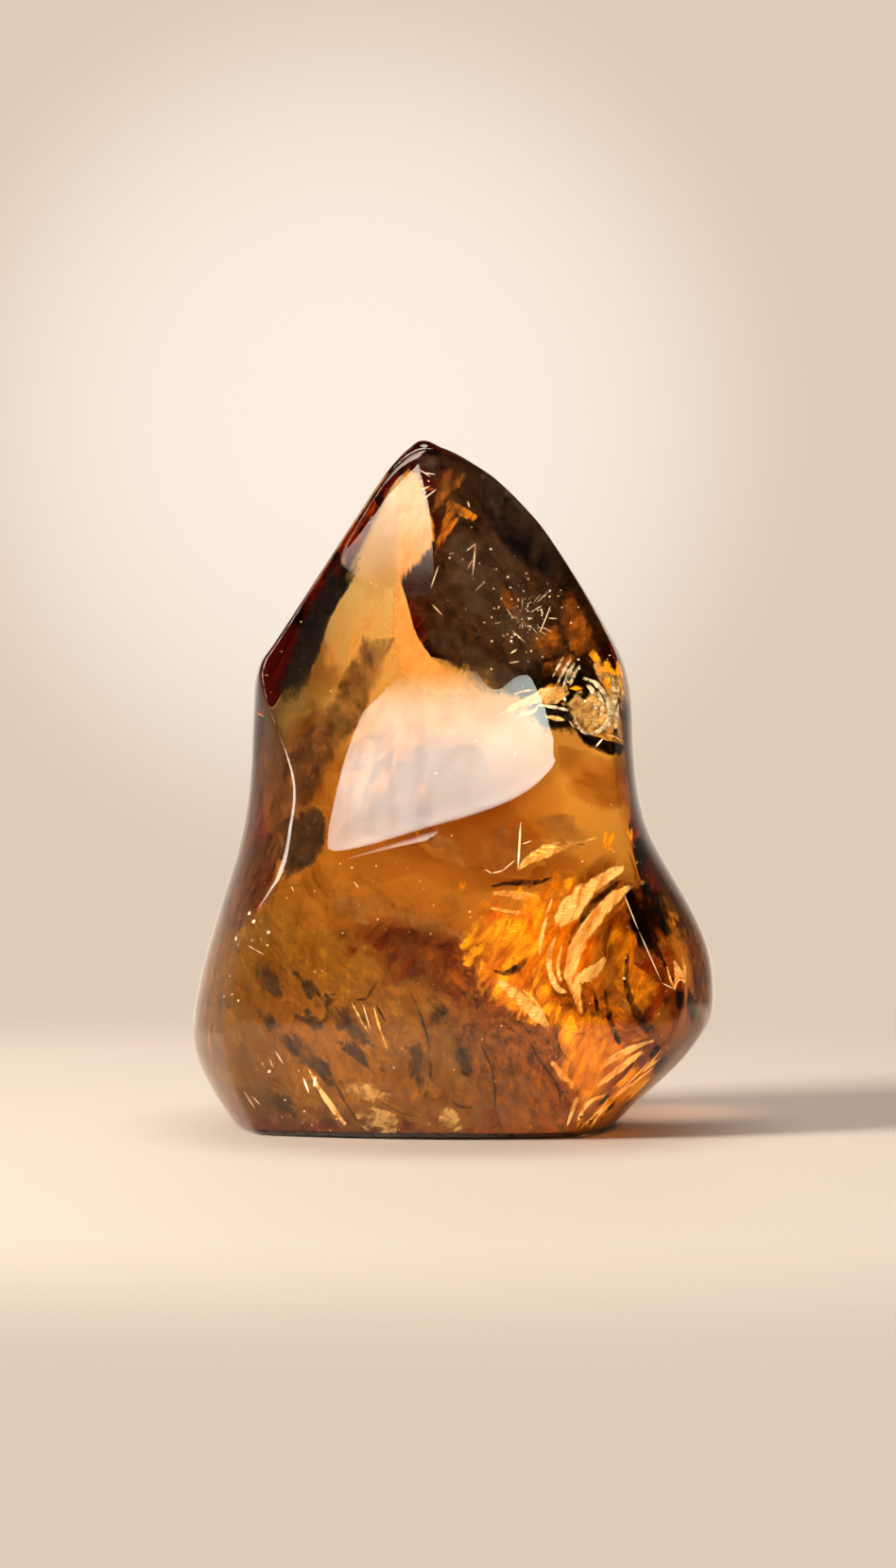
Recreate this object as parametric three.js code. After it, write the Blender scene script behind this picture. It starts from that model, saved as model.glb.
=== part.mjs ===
// Smoky quartz flame: one freeform crystal, sawn flat underneath and polished all over.
//
// Millimetres, +Z up, X across the wide face, Y from the front face (-Y) to the back (+Y).
// The origin is the middle of the flat base. The body is the space inside seven curved faces.
// They meet along softly rounded ridges: the long ridge that sweeps up across the front, the two
// side ridges and the three ridges of the back. A ray is cast outwards from a spine inside the
// body, ring by ring from the base to the tip, and each one ends where it meets the faces.

import * as THREE from 'three';

// ---- driving dimensions ------------------------------------------------------------------

const HEIGHT = 90; // base to tip
const EDGE_ROUND = 0.7; // softened edge round the sawn base
const RIDGE_SHARPNESS = 4; // per mm; a larger value gives a tighter ridge

const RING_SIDES = 72;
const RING_LEVELS = 52;
const TIP_CROWDING = 1.35; // rings lie closer together towards the tip
const RIDGE_CROWDING = 0.16; // share of a ring's points drawn to each radian of turn
const SURVEY_RAYS = 360; // rays that find where a ring turns
const SURVEY_START = -Math.PI / 2; // the middle of the front, which no side ridge crosses
const CAST_REACH = 60; // longer than any ray from the spine to the surface
const CAST_HALVINGS = 30;

// How far the side faces reach, as [height, X], and how fast each curves away in plan.
const LEFT_REACH = [
  [0, -28.6], [4.3, -31.5], [8.6, -33.6], [12.3, -34.25], [15.4, -34.1], [21.6, -32.8],
  [29, -30.6], [36.4, -28.3], [44, -26.9], [54, -26.3], [58.6, -26], [61, -25.2],
  [63, -23.8], [67.3, -20.9], [80, -12.6], [86.2, -8.4], [91, -4],
];
const RIGHT_REACH = [
  [0, 21], [5.1, 26.4], [8.4, 29.9], [11.4, 32.4], [14.3, 34], [17.9, 34.4],
  [22.8, 33.8], [27.8, 31.8], [37.7, 26.3], [42.6, 24.7], [48.8, 23.9], [56.2, 23.5],
  [61.1, 22.4], [65.8, 20], [71, 16.9], [77.2, 12.8], [80, 10.6], [84.7, 5.9],
  [87, 2.6], [91, -3.8],
];
const LEFT_CURVE = [
  [0, 0.014], [28, 0.012], [39, 0.019], [50, 0.03], [57, 0.022], [62, 0.006], [90, 0.004],
];
const RIGHT_CURVE = [
  [0, 0.016], [18, 0.012], [30, 0.013], [40, 0.008], [54, 0.01], [60, 0.008], [90, 0.006],
];
const LEFT_CREST_Y = 4; // where the left side reaches furthest out
const RIGHT_CREST_Y = 3;

// The belly at the front and the back, as [height, Y], and how far they bow across the width.
const FRONT_BELLY = [
  [0, -17], [4, -20.3], [9, -22.9], [14, -23.8], [20, -23.6], [28, -22.6], [36, -21.4],
  [44, -19.8], [52, -17.8], [70, -13],
];
const BACK_BELLY = [
  [0, 17.5], [4, 20.5], [9, 23], [14, 24], [19, 23.6], [26, 21.6], [33, 19.6],
  [42, 18.6], [50, 18.2], [60, 17.4], [70, 15.2], [80, 12.4], [86, 9], [91, 2.4],
];
const BELLY_BOW = 0.008;

// The long ridge across the front, as [X, height]. Above it the front leans back to the tip.
const FRONT_RIDGE = [
  [-34, 24], [-26.3, 29.2], [-21.7, 32.2], [-15.6, 35.5], [-9.6, 37.6], [-3.7, 39.4],
  [2.4, 41.1], [7.2, 42.8], [12, 45.8], [15.7, 48.4], [19.5, 51.4], [25, 57],
];
const LEAN_AT_RIDGE = 0.62; // mm back for each mm up, just above the ridge
const LEAN_EASING = 0.0045; // how fast the lean eases off towards the tip

// The scoop that thins the back's upper right, inside a rounded corner, and how deep it goes.
const SCOOP_EDGE_X = -5.9;
const SCOOP_FLOOR_X = 3.7;
const SCOOP_FLOOR_Z = 55.6;
const SCOOP_FLOOR_FALL = 0.26;
const SCOOP_CORNER = 0.8; // per mm; a smaller value gives a rounder corner
const SCOOP_WALL_SLOPE = 1.14;
const SCOOP_WALL_EASING = 0.02; // per mm; the wall is steep at its edge and eases away from it
const SCOOP_FLOOR_SLOPE = 0.64;
const SCOOP_SHARE = 0.86; // most of the local thickness that the scoop takes
const SCOOP_MIN_DEPTH = 2;

// The flat that is cut off the back's left edge.
const FLAT_EDGE_X = -11.6;
const FLAT_EDGE_Z = 73.6;
const FLAT_EDGE_FALL = 0.4;
const FLAT_SLOPE = 0.95;

// The spine that the rays start from, as [height, X] and [height, Y].
const SPINE_X = [[0, -2], [20, 0], [45, -1], [65, -2], [80, -3.2], [92, -4]];
const SPINE_Y = [[0, 0], [45, -2], [60, -3], [75, -1.4], [84, -0.6], [92, 0.3]];

// ---- curves ------------------------------------------------------------------------------

// A smooth curve through points, carried on as a straight line past each end.
function curveThrough(points) {
  const last = points.length - 1;
  const slopes = points.map((point, i) => {
    const before = points[Math.max(i - 1, 0)];
    const after = points[Math.min(i + 1, last)];
    return (after[1] - before[1]) / (after[0] - before[0]);
  });
  return (t) => {
    if (t <= points[0][0]) return points[0][1] + (t - points[0][0]) * slopes[0];
    if (t >= points[last][0]) return points[last][1] + (t - points[last][0]) * slopes[last];
    const i = points.findIndex((point, k) => k < last && t < points[k + 1][0]);
    const span = points[i + 1][0] - points[i][0];
    const s = (t - points[i][0]) / span;
    const s2 = s * s;
    const s3 = s2 * s;
    return (2 * s3 - 3 * s2 + 1) * points[i][1] + (s3 - 2 * s2 + s) * span * slopes[i]
      + (3 * s2 - 2 * s3) * points[i + 1][1] + (s3 - s2) * span * slopes[i + 1];
  };
}

const leftReach = curveThrough(LEFT_REACH);
const rightReach = curveThrough(RIGHT_REACH);
const leftCurve = curveThrough(LEFT_CURVE);
const rightCurve = curveThrough(RIGHT_CURVE);
const frontBelly = curveThrough(FRONT_BELLY);
const backBelly = curveThrough(BACK_BELLY);
const frontRidge = curveThrough(FRONT_RIDGE);
const spineX = curveThrough(SPINE_X);
const spineY = curveThrough(SPINE_Y);

// The largest of several values, eased where two of them are nearly equal.
function softMax(values, sharpness) {
  const top = Math.max(...values);
  const sum = values.reduce((total, value) => total + Math.exp(sharpness * (value - top)), 0);
  return top + Math.log(sum) / sharpness;
}

const softMin = (a, b, sharpness) => -softMax([-a, -b], sharpness);

// ---- the seven faces: each gives the face's own X or Y at a place on it -------------------

const leftSide = (y, z) => leftReach(z) + leftCurve(z) * (y - LEFT_CREST_Y) ** 2;
const rightSide = (y, z) => rightReach(z) - rightCurve(z) * (y - RIGHT_CREST_Y) ** 2;
const lowerFront = (x, z) => frontBelly(z) + BELLY_BOW * (x - 1) ** 2;
const mainBack = (x, z) => backBelly(z) - BELLY_BOW * (x + 1) ** 2;

function upperFront(x, z) {
  const ridge = frontRidge(x);
  const up = z - ridge;
  return lowerFront(x, ridge) + LEAN_AT_RIDGE * up - LEAN_EASING * up * up;
}

function backScoop(x, z) {
  const back = mainBack(x, z);
  const floor = SCOOP_FLOOR_Z - SCOOP_FLOOR_FALL * (x - SCOOP_FLOOR_X);
  const across = x - SCOOP_EDGE_X;
  const wall = SCOOP_WALL_SLOPE * across - SCOOP_WALL_EASING * Math.max(across, 0) ** 2;
  const depth = softMin(wall, SCOOP_FLOOR_SLOPE * (z - floor), SCOOP_CORNER);
  const deepest = SCOOP_SHARE * Math.max(back - upperFront(x, z), SCOOP_MIN_DEPTH);
  return back - softMin(depth, deepest, 1);
}

function backFlat(x, z) {
  const edge = FLAT_EDGE_X + FLAT_EDGE_FALL * (z - FLAT_EDGE_Z);
  return mainBack(x, z) - FLAT_SLOPE * (edge - x);
}

// Below zero inside the crystal, above zero outside it.
function outside(x, y, z) {
  return softMax([
    leftSide(y, z) - x,
    x - rightSide(y, z),
    lowerFront(x, z) - y,
    upperFront(x, z) - y,
    y - mainBack(x, z),
    y - backScoop(x, z),
    y - backFlat(x, z),
  ], RIDGE_SHARPNESS);
}

// ---- the body ----------------------------------------------------------------------------

function halve(low, high, isInside) {
  let inner = low;
  let outer = high;
  for (let i = 0; i < CAST_HALVINGS; i += 1) {
    const middle = (inner + outer) / 2;
    if (isInside(middle)) inner = middle;
    else outer = middle;
  }
  return (inner + outer) / 2;
}

const onSpine = (z) => outside(spineX(z), spineY(z), z);

// The point on the surface at an angle round the spine, drawn in where the base edge is eased.
function surfacePoint(angle, z) {
  const ax = Math.cos(angle);
  const ay = Math.sin(angle);
  const reach = halve(0, CAST_REACH, (r) => outside(spineX(z) + r * ax, spineY(z) + r * ay, z) < 0);
  const low = Math.max(EDGE_ROUND - z, 0);
  const drawnIn = EDGE_ROUND - Math.sqrt(EDGE_ROUND ** 2 - low ** 2);
  return new THREE.Vector3(
    spineX(z) + (reach - drawnIn) * ax,
    spineY(z) + (reach - drawnIn) * ay,
    z,
  );
}

// The angles of a ring's points: evenly along it, but closer together where it turns at a ridge.
function ringAngles(z) {
  const step = (2 * Math.PI) / SURVEY_RAYS;
  const angleOf = (i) => SURVEY_START + i * step;
  const survey = Array.from({ length: SURVEY_RAYS }, (unused, i) => surfacePoint(angleOf(i), z));
  const at = (i) => survey[(i + SURVEY_RAYS) % SURVEY_RAYS];
  const sides = survey.map((point, i) => at(i + 1).clone().sub(point));
  const girth = sides.reduce((total, side) => total + side.length(), 0);
  const travelled = [0];
  sides.forEach((side, i) => {
    const turn = side.angleTo(sides[(i + 1) % SURVEY_RAYS]);
    travelled.push(travelled[i] + side.length() / girth + RIDGE_CROWDING * turn);
  });
  return Array.from({ length: RING_SIDES }, (unused, k) => {
    const goal = (travelled[SURVEY_RAYS] * k) / RING_SIDES;
    const i = travelled.findIndex((distance, j) => distance <= goal && goal < travelled[j + 1]);
    return angleOf(i + (goal - travelled[i]) / (travelled[i + 1] - travelled[i]));
  });
}

function flameGeometry() {
  const top = halve(HEIGHT / 2, HEIGHT * 1.1, (z) => onSpine(z) < 0);
  const positions = [];
  for (let level = 0; level < RING_LEVELS; level += 1) {
    const z = top * (1 - (1 - level / RING_LEVELS) ** TIP_CROWDING);
    ringAngles(z).forEach((angle) => positions.push(...surfacePoint(angle, z).toArray()));
  }
  const baseCentre = positions.length / 3;
  positions.push(spineX(0), spineY(0), 0);
  const tip = baseCentre + 1;
  positions.push(spineX(top), spineY(top), top);

  const point = (i) => new THREE.Vector3().fromArray(positions, 3 * i);
  const depthOfMiddle = (i, j) => {
    const middle = point(i).add(point(j)).multiplyScalar(0.5);
    return Math.abs(outside(middle.x, middle.y, middle.z));
  };
  const triangles = [];
  for (let side = 0; side < RING_SIDES; side += 1) {
    const next = (side + 1) % RING_SIDES;
    triangles.push(baseCentre, next, side);
    for (let level = 0; level < RING_LEVELS - 1; level += 1) {
      const a = level * RING_SIDES + side;
      const b = level * RING_SIDES + next;
      const c = b + RING_SIDES;
      const d = a + RING_SIDES;
      // each patch is split along the diagonal that lies closer to the true surface
      if (depthOfMiddle(a, c) < depthOfMiddle(b, d)) triangles.push(a, b, c, a, c, d);
      else triangles.push(a, b, d, b, c, d);
    }
    const lastRing = (RING_LEVELS - 1) * RING_SIDES;
    triangles.push(tip, lastRing + side, lastRing + next);
  }

  const geometry = new THREE.BufferGeometry();
  geometry.setAttribute('position', new THREE.Float32BufferAttribute(positions, 3));
  geometry.setIndex(triangles);
  geometry.computeBoundingBox();
  const { min, max } = geometry.boundingBox;
  geometry.translate(-(min.x + max.x) / 2, -(min.y + max.y) / 2, 0);
  geometry.scale(1, 1, HEIGHT / max.z);
  geometry.computeVertexNormals();
  return geometry;
}

// Clear brown quartz with a polish: amber where it is thin, dark brown where it is deep.
const smokyQuartz = new THREE.MeshStandardMaterial({ color: '#a8662a', roughness: 0.04, metalness: 0 });
smokyQuartz.name = 'smoky_quartz';

const flame = new THREE.Mesh(flameGeometry(), smokyQuartz);
flame.name = 'quartz_flame';

const part = new THREE.Group();
part.name = 'smoky_quartz_flame';
part.add(flame);

export default part;
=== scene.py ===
"""Smoky quartz flame: a clear brown crystal, polished all over, with the flaws that lie inside it."""
import math

import bpy
import numpy as np
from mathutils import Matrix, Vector

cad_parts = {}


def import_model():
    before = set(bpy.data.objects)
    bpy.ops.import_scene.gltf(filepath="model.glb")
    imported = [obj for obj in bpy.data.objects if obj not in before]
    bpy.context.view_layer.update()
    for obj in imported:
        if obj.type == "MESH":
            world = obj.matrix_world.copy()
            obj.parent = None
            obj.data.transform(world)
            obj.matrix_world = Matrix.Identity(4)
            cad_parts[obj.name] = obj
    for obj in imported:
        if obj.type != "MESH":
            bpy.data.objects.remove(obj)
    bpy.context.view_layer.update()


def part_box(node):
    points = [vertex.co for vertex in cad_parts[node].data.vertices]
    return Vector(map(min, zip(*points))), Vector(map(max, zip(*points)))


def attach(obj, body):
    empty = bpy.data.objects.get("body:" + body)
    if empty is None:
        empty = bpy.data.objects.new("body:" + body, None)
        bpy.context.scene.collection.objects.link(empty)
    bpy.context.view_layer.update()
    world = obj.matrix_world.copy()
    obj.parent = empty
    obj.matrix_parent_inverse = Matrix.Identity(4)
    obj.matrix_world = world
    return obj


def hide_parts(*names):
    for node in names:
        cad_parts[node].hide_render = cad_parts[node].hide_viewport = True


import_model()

MM = 0.001
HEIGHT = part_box("quartz_flame")[1].z / MM


# ---- small helpers -----------------------------------------------------------------------------

def colour(hex_code):
    """An sRGB hex colour as linear RGBA."""
    channels = [int(hex_code[i:i + 2], 16) / 255 for i in (1, 3, 5)]
    linear = [c / 12.92 if c <= 0.04045 else ((c + 0.055) / 1.055) ** 2.4 for c in channels]
    return (*linear, 1.0)


def node(tree, kind, inputs=None, stops=(), **settings):
    """Adds one shader node, sets its properties and ramp stops, and fills or links its inputs."""
    made = tree.nodes.new(kind)
    for name, value in settings.items():
        setattr(made, name, value)
    for _ in stops[2:]:
        made.color_ramp.elements.new(0.5)
    if stops:
        for point, (position, shade) in zip(made.color_ramp.elements, stops):
            point.position, point.color = position, shade
    for name, value in (inputs or {}).items():
        if isinstance(value, bpy.types.NodeSocket):
            tree.links.new(value, made.inputs[name])
        else:
            made.inputs[name].default_value = value
    return made


def material(name):
    """An empty node material: its tree and its output node."""
    made = bpy.data.materials.new(name)
    made.use_nodes = True
    made.node_tree.nodes.clear()
    return made, made.node_tree, made.node_tree.nodes.new("ShaderNodeOutputMaterial")


def mesh_object(name, points_mm, faces, finish, smooth=True):
    """A mesh from points in millimetres and faces of any size."""
    mesh = bpy.data.meshes.new(name)
    mesh.from_pydata((np.asarray(points_mm, float) * MM).tolist(), [], [list(f) for f in faces])
    mesh.polygons.foreach_set("use_smooth", [smooth] * len(mesh.polygons))
    mesh.update()
    made = bpy.data.objects.new(name, mesh)
    bpy.context.scene.collection.objects.link(made)
    made.data.materials.append(finish)
    return made


# ---- the crystal's surface ---------------------------------------------------------------------
# The space inside seven curved faces, met along softly rounded ridges. Millimetres: X across the
# wide face, Y from front to back, Z up.

EDGE_ROUND = 0.7         # softened edge round the sawn base
RIDGE_SHARPNESS = 4.0    # per mm; a larger value gives a tighter ridge
TIP_SOFTNESS = 2.9       # the ridges ease off where they meet, towards the worn tip
RING_SIDES = 280
RING_LEVELS = 330
TIP_CROWDING = 1.35      # rings lie closer together towards the tip
RIDGE_CROWDING = 0.16    # share of a ring's points drawn to each radian of turn
SURVEY_RAYS = 360        # rays that find where a ring turns
SURVEY_START = -math.pi / 2
CAST_REACH = 60.0
CAST_HALVINGS = 24
TIP_EASE_START, TIP_EASE_SPAN = 82, 7

LEFT_REACH = [
    (0, -28.6), (4.3, -31.5), (8.6, -33.6), (12.3, -34.25), (15.4, -34.1), (21.6, -32.8),
    (29, -30.6), (36.4, -28.3), (44, -26.9), (54, -26.3), (58.6, -26), (61, -25.2),
    (63, -23.8), (67.3, -20.9), (80, -12.6), (86.2, -8.4), (91, -4)]
RIGHT_REACH = [
    (0, 21), (5.1, 26.4), (8.4, 29.9), (11.4, 32.4), (14.3, 34), (17.9, 34.4),
    (22.8, 33.8), (27.8, 31.8), (37.7, 26.3), (42.6, 24.7), (48.8, 23.9), (56.2, 23.5),
    (61.1, 22.4), (65.8, 20), (71, 16.9), (77.2, 12.8), (80, 10.6), (84.7, 5.9),
    (87, 2.6), (91, -3.8)]
LEFT_CURVE = [(0, 0.014), (28, 0.012), (39, 0.019), (50, 0.03), (57, 0.022), (62, 0.006), (90, 0.004)]
RIGHT_CURVE = [(0, 0.016), (18, 0.012), (30, 0.013), (40, 0.008), (54, 0.01), (60, 0.008), (90, 0.006)]
LEFT_CREST_Y, RIGHT_CREST_Y = 4.0, 3.0
FRONT_BELLY = [
    (0, -17), (4, -20.3), (9, -22.9), (14, -23.8), (20, -23.6), (28, -22.6), (36, -21.4),
    (44, -19.8), (52, -17.8), (70, -13)]
BACK_BELLY = [
    (0, 17.5), (4, 20.5), (9, 23), (14, 24), (19, 23.6), (26, 21.6), (33, 19.6),
    (42, 18.6), (50, 18.2), (60, 17.4), (70, 15.2), (80, 12.4), (86, 9), (91, 2.4)]
BELLY_BOW = 0.008
FRONT_RIDGE = [
    (-34, 24), (-26.3, 29.2), (-21.7, 32.2), (-15.6, 35.5), (-9.6, 37.6), (-3.7, 39.4),
    (2.4, 41.1), (7.2, 42.8), (12, 45.8), (15.7, 48.4), (19.5, 51.4), (25, 57)]
LEAN_AT_RIDGE, LEAN_EASING = 0.62, 0.0045
SCOOP_EDGE_X, SCOOP_FLOOR_X, SCOOP_FLOOR_Z, SCOOP_FLOOR_FALL = -5.9, 3.7, 55.6, 0.26
SCOOP_CORNER, SCOOP_WALL_SLOPE, SCOOP_WALL_EASING, SCOOP_FLOOR_SLOPE = 0.8, 1.14, 0.02, 0.64
SCOOP_SHARE, SCOOP_MIN_DEPTH = 0.86, 2.0
FLAT_EDGE_X, FLAT_EDGE_Z, FLAT_EDGE_FALL, FLAT_SLOPE = -11.6, 73.6, 0.4, 0.95
SPINE_X = [(0, -2), (20, 0), (45, -1), (65, -2), (80, -3.2), (92, -4)]
SPINE_Y = [(0, 0), (45, -2), (60, -3), (75, -1.4), (84, -0.6), (92, 0.3)]


def curve_through(points):
    """A smooth curve through points, carried on as a straight line past each end."""
    t, v = np.array(points, float).T
    slope = np.empty(len(t))
    slope[1:-1] = (v[2:] - v[:-2]) / (t[2:] - t[:-2])
    slope[0] = (v[1] - v[0]) / (t[1] - t[0])
    slope[-1] = (v[-1] - v[-2]) / (t[-1] - t[-2])

    def value(x):
        x = np.asarray(x, float)
        i = np.clip(np.searchsorted(t, x) - 1, 0, len(t) - 2)
        span = t[i + 1] - t[i]
        s = (x - t[i]) / span
        past = np.where(s < 0, s * span * slope[0], np.where(s > 1, (s - 1) * span * slope[-1], 0.0))
        s = np.clip(s, 0, 1)
        return past + ((2 * s ** 3 - 3 * s ** 2 + 1) * v[i] + (s ** 3 - 2 * s ** 2 + s) * span * slope[i]
                       + (3 * s ** 2 - 2 * s ** 3) * v[i + 1] + (s ** 3 - s ** 2) * span * slope[i + 1])
    return value


left_reach, right_reach = curve_through(LEFT_REACH), curve_through(RIGHT_REACH)
left_curve, right_curve = curve_through(LEFT_CURVE), curve_through(RIGHT_CURVE)
front_belly, back_belly = curve_through(FRONT_BELLY), curve_through(BACK_BELLY)
front_ridge = curve_through(FRONT_RIDGE)
spine_x, spine_y = curve_through(SPINE_X), curve_through(SPINE_Y)


def soft_max(values, sharpness):
    """The largest of several values, eased where two of them are nearly equal."""
    top = values[0]
    for value in values[1:]:
        top = np.maximum(top, value)
    return top + np.log(sum(np.exp(sharpness * (value - top)) for value in values)) / sharpness


def lower_front(x, z):
    return front_belly(z) + BELLY_BOW * (x - 1) ** 2


def main_back(x, z):
    return back_belly(z) - BELLY_BOW * (x + 1) ** 2


def upper_front(x, z):
    ridge = front_ridge(x)
    up = z - ridge
    return lower_front(x, ridge) + LEAN_AT_RIDGE * up - LEAN_EASING * up * up


def back_scoop(x, z):
    back = main_back(x, z)
    floor = SCOOP_FLOOR_Z - SCOOP_FLOOR_FALL * (x - SCOOP_FLOOR_X)
    across = x - SCOOP_EDGE_X
    wall = SCOOP_WALL_SLOPE * across - SCOOP_WALL_EASING * np.maximum(across, 0) ** 2
    shallow = soft_max([-wall, SCOOP_FLOOR_SLOPE * (floor - z)], SCOOP_CORNER)
    deepest = SCOOP_SHARE * np.maximum(back - upper_front(x, z), SCOOP_MIN_DEPTH)
    return back + soft_max([shallow, -deepest], 1)


def back_flat(x, z):
    edge = FLAT_EDGE_X + FLAT_EDGE_FALL * (z - FLAT_EDGE_Z)
    return main_back(x, z) - FLAT_SLOPE * (edge - x)


def outside(x, y, z):
    """Below zero inside the crystal, above zero outside it."""
    worn = np.clip((z - TIP_EASE_START) / TIP_EASE_SPAN, 0, 1) ** 2
    return soft_max([
        left_reach(z) + left_curve(z) * (y - LEFT_CREST_Y) ** 2 - x,
        x - right_reach(z) + right_curve(z) * (y - RIGHT_CREST_Y) ** 2,
        lower_front(x, z) - y,
        upper_front(x, z) - y,
        y - main_back(x, z),
        y - back_scoop(x, z),
        y - back_flat(x, z)], RIDGE_SHARPNESS - TIP_SOFTNESS * worn)


def halve(low, high, is_inside):
    for _ in range(CAST_HALVINGS):
        middle = (low + high) / 2
        inside = is_inside(middle)
        low, high = np.where(inside, middle, low), np.where(inside, high, middle)
    return (low + high) / 2


def surface_points(angles, z):
    """Where rays from the spine meet the surface, drawn in where the base edge is eased."""
    ax, ay = np.cos(angles), np.sin(angles)
    sx, sy = spine_x(z), spine_y(z)
    reach = halve(np.zeros_like(angles), np.full_like(angles, CAST_REACH),
                  lambda r: outside(sx + r * ax, sy + r * ay, z) < 0)
    low = np.maximum(EDGE_ROUND - z, 0)
    reach = reach - EDGE_ROUND + np.sqrt(EDGE_ROUND ** 2 - low ** 2)
    return np.stack([sx + reach * ax, sy + reach * ay, z], -1)


def ring_angles(z):
    """Angles along each ring, closer together where the ring turns at a ridge."""
    step = 2 * math.pi / SURVEY_RAYS
    rays = SURVEY_START + step * np.arange(SURVEY_RAYS)
    survey = surface_points(np.broadcast_to(rays, (len(z), SURVEY_RAYS)).copy(), z[:, None] + 0 * rays)
    sides = np.roll(survey, -1, 1) - survey
    length = np.linalg.norm(sides, axis=2)
    unit = sides / length[..., None]
    turn = np.arccos(np.clip((unit * np.roll(unit, -1, 1)).sum(2), -1, 1))
    weight = length / length.sum(1, keepdims=True) + RIDGE_CROWDING * turn
    travelled = np.concatenate([np.zeros((len(z), 1)), np.cumsum(weight, 1)], 1)
    places = np.arange(RING_SIDES) / RING_SIDES
    return np.array([SURVEY_START + step * np.interp(places * row[-1], row, np.arange(SURVEY_RAYS + 1))
                     for row in travelled])


def flame_mesh(finish):
    """The whole polished surface as rings of quads, with a fan under the base and one at the tip."""
    top = float(halve(np.array(HEIGHT / 2), np.array(HEIGHT * 1.1),
                      lambda z: outside(spine_x(z), spine_y(z), z) < 0))
    z = top * (1 - (1 - np.arange(RING_LEVELS) / RING_LEVELS) ** TIP_CROWDING)
    rings = surface_points(ring_angles(z), z[:, None] + np.zeros(RING_SIDES))
    centre = (rings.reshape(-1, 3).min(0) + rings.reshape(-1, 3).max(0)) / 2
    shift = np.array([centre[0], centre[1], 0.0])
    ends = np.array([[spine_x(0), spine_y(0), 0.0], [spine_x(top), spine_y(top), top]])
    points = (np.vstack([rings.reshape(-1, 3), ends]) - shift) * [1, 1, HEIGHT / top]
    base, tip = len(points) - 2, len(points) - 1
    side = np.arange(RING_SIDES)
    after = (side + 1) % RING_SIDES
    lower = RING_SIDES * np.arange(RING_LEVELS - 1)[:, None]
    upper = lower + RING_SIDES
    quads = np.stack([lower + side, lower + after, upper + after, upper + side], -1).reshape(-1, 4)
    last = RING_SIDES * (RING_LEVELS - 1)
    faces = (quads.tolist() + [(base, after[i], side[i]) for i in side]
             + [(tip, last + side[i], last + after[i]) for i in side])
    return mesh_object("flame_polished", points, faces, finish)


# ---- bodies inside the crystal -----------------------------------------------------------------
# Each builder gives one closed body as (points in millimetres, faces, rim), where rim is 0 in the
# middle of a sheet and 1 at its edge, so that a finish can thin out towards the edge.

SHEET_THICKNESS = 0.12
RIBBON_STEPS, RIBBON_LANES, RIBBON_BOW = 10, 7, 0.22
PLATE_RINGS, PLATE_EDGE_STEP, PLATE_LEAST_STEPS, PLATE_RAGGED = 7, 0.45, 24, 0.07
RIPPLES_PER_MM = 5.0
CLOUD_SIDES, CLOUD_LEVELS = 36, 22
VEIL_STEPS, VEIL_THICKNESS = 40, 0.1
LEAST_SKIN, DRAW_IN, DRAWS = 0.25, 0.12, 12


def unit(vectors):
    return vectors / np.maximum(np.linalg.norm(vectors, axis=-1, keepdims=True), 1e-9)


def path_through(points, steps):
    """A smooth path of many points through a few."""
    points = np.asarray(points, float)
    along = np.concatenate([[0], np.cumsum(np.linalg.norm(np.diff(points[:, :3], axis=0), axis=1))])
    axes = [curve_through(list(zip(along, column))) for column in points.T]
    at = np.linspace(0, along[-1], steps)
    return np.stack([axis(at) for axis in axes], -1)


def thin_sheet(grid, thickness):
    """A closed sheet from a grid of points, thinned to nothing at its rim."""
    rows, columns = grid.shape[:2]
    normal = unit(np.cross(np.gradient(grid, axis=0), np.gradient(grid, axis=1)))
    half = normal * thickness / 2
    points = np.concatenate([(grid + half).reshape(-1, 3), (grid - half).reshape(-1, 3)])
    under = rows * columns
    faces = []
    for i in range(rows - 1):
        for j in range(columns - 1):
            a, b = i * columns + j, (i + 1) * columns + j
            faces += [(a, b, b + 1, a + 1), (under + a, under + a + 1, under + b + 1, under + b)]
    rim = ([j for j in range(columns)] + [i * columns + columns - 1 for i in range(1, rows)]
           + [(rows - 1) * columns + j for j in range(columns - 2, -1, -1)]
           + [i * columns for i in range(rows - 2, 0, -1)])
    for a, b in zip(rim, rim[1:] + rim[:1]):
        faces.append((a, b, under + b, under + a))
    along = np.abs(np.linspace(-1, 1, rows))[:, None] ** 4
    across = np.abs(np.linspace(-1, 1, columns))[None, :] ** 2
    edge = np.maximum(along, across).ravel()
    return points, faces, np.concatenate([edge, edge])


def ribbon(points, rng):
    """A curved strip through (x, y, z, width), facing the front, with slightly ragged edges."""
    path = path_through(points, RIBBON_STEPS * len(points))
    path, width = path[:, :3], np.maximum(path[:, 3], 0.05)
    ahead = unit(np.gradient(path, axis=0))
    share = np.linspace(0, 1, len(path))
    facing = unit(np.stack([0.5 * np.sin(2.2 * share + rng.uniform(0, 6)), -np.ones_like(share),
                            0.4 * np.cos(3 * share + rng.uniform(0, 6))], -1))
    across = unit(np.cross(ahead, facing))
    ragged = 1
    for swing, pitch in ((0.09, 29), (0.06, 61)):
        ragged = ragged + swing * np.sin(pitch * share + rng.uniform(0, 6))
    half = (width / 2 * ragged)[:, None, None]
    lanes = np.linspace(-1, 1, RIBBON_LANES)[None, :, None]
    bow = RIBBON_BOW * (1 - lanes ** 2) + 0.05 * np.sin(9 * lanes)
    rows = path[:, None] + half * (lanes * across[:, None] + bow * facing[:, None])
    return thin_sheet(rows, SHEET_THICKNESS)


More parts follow.
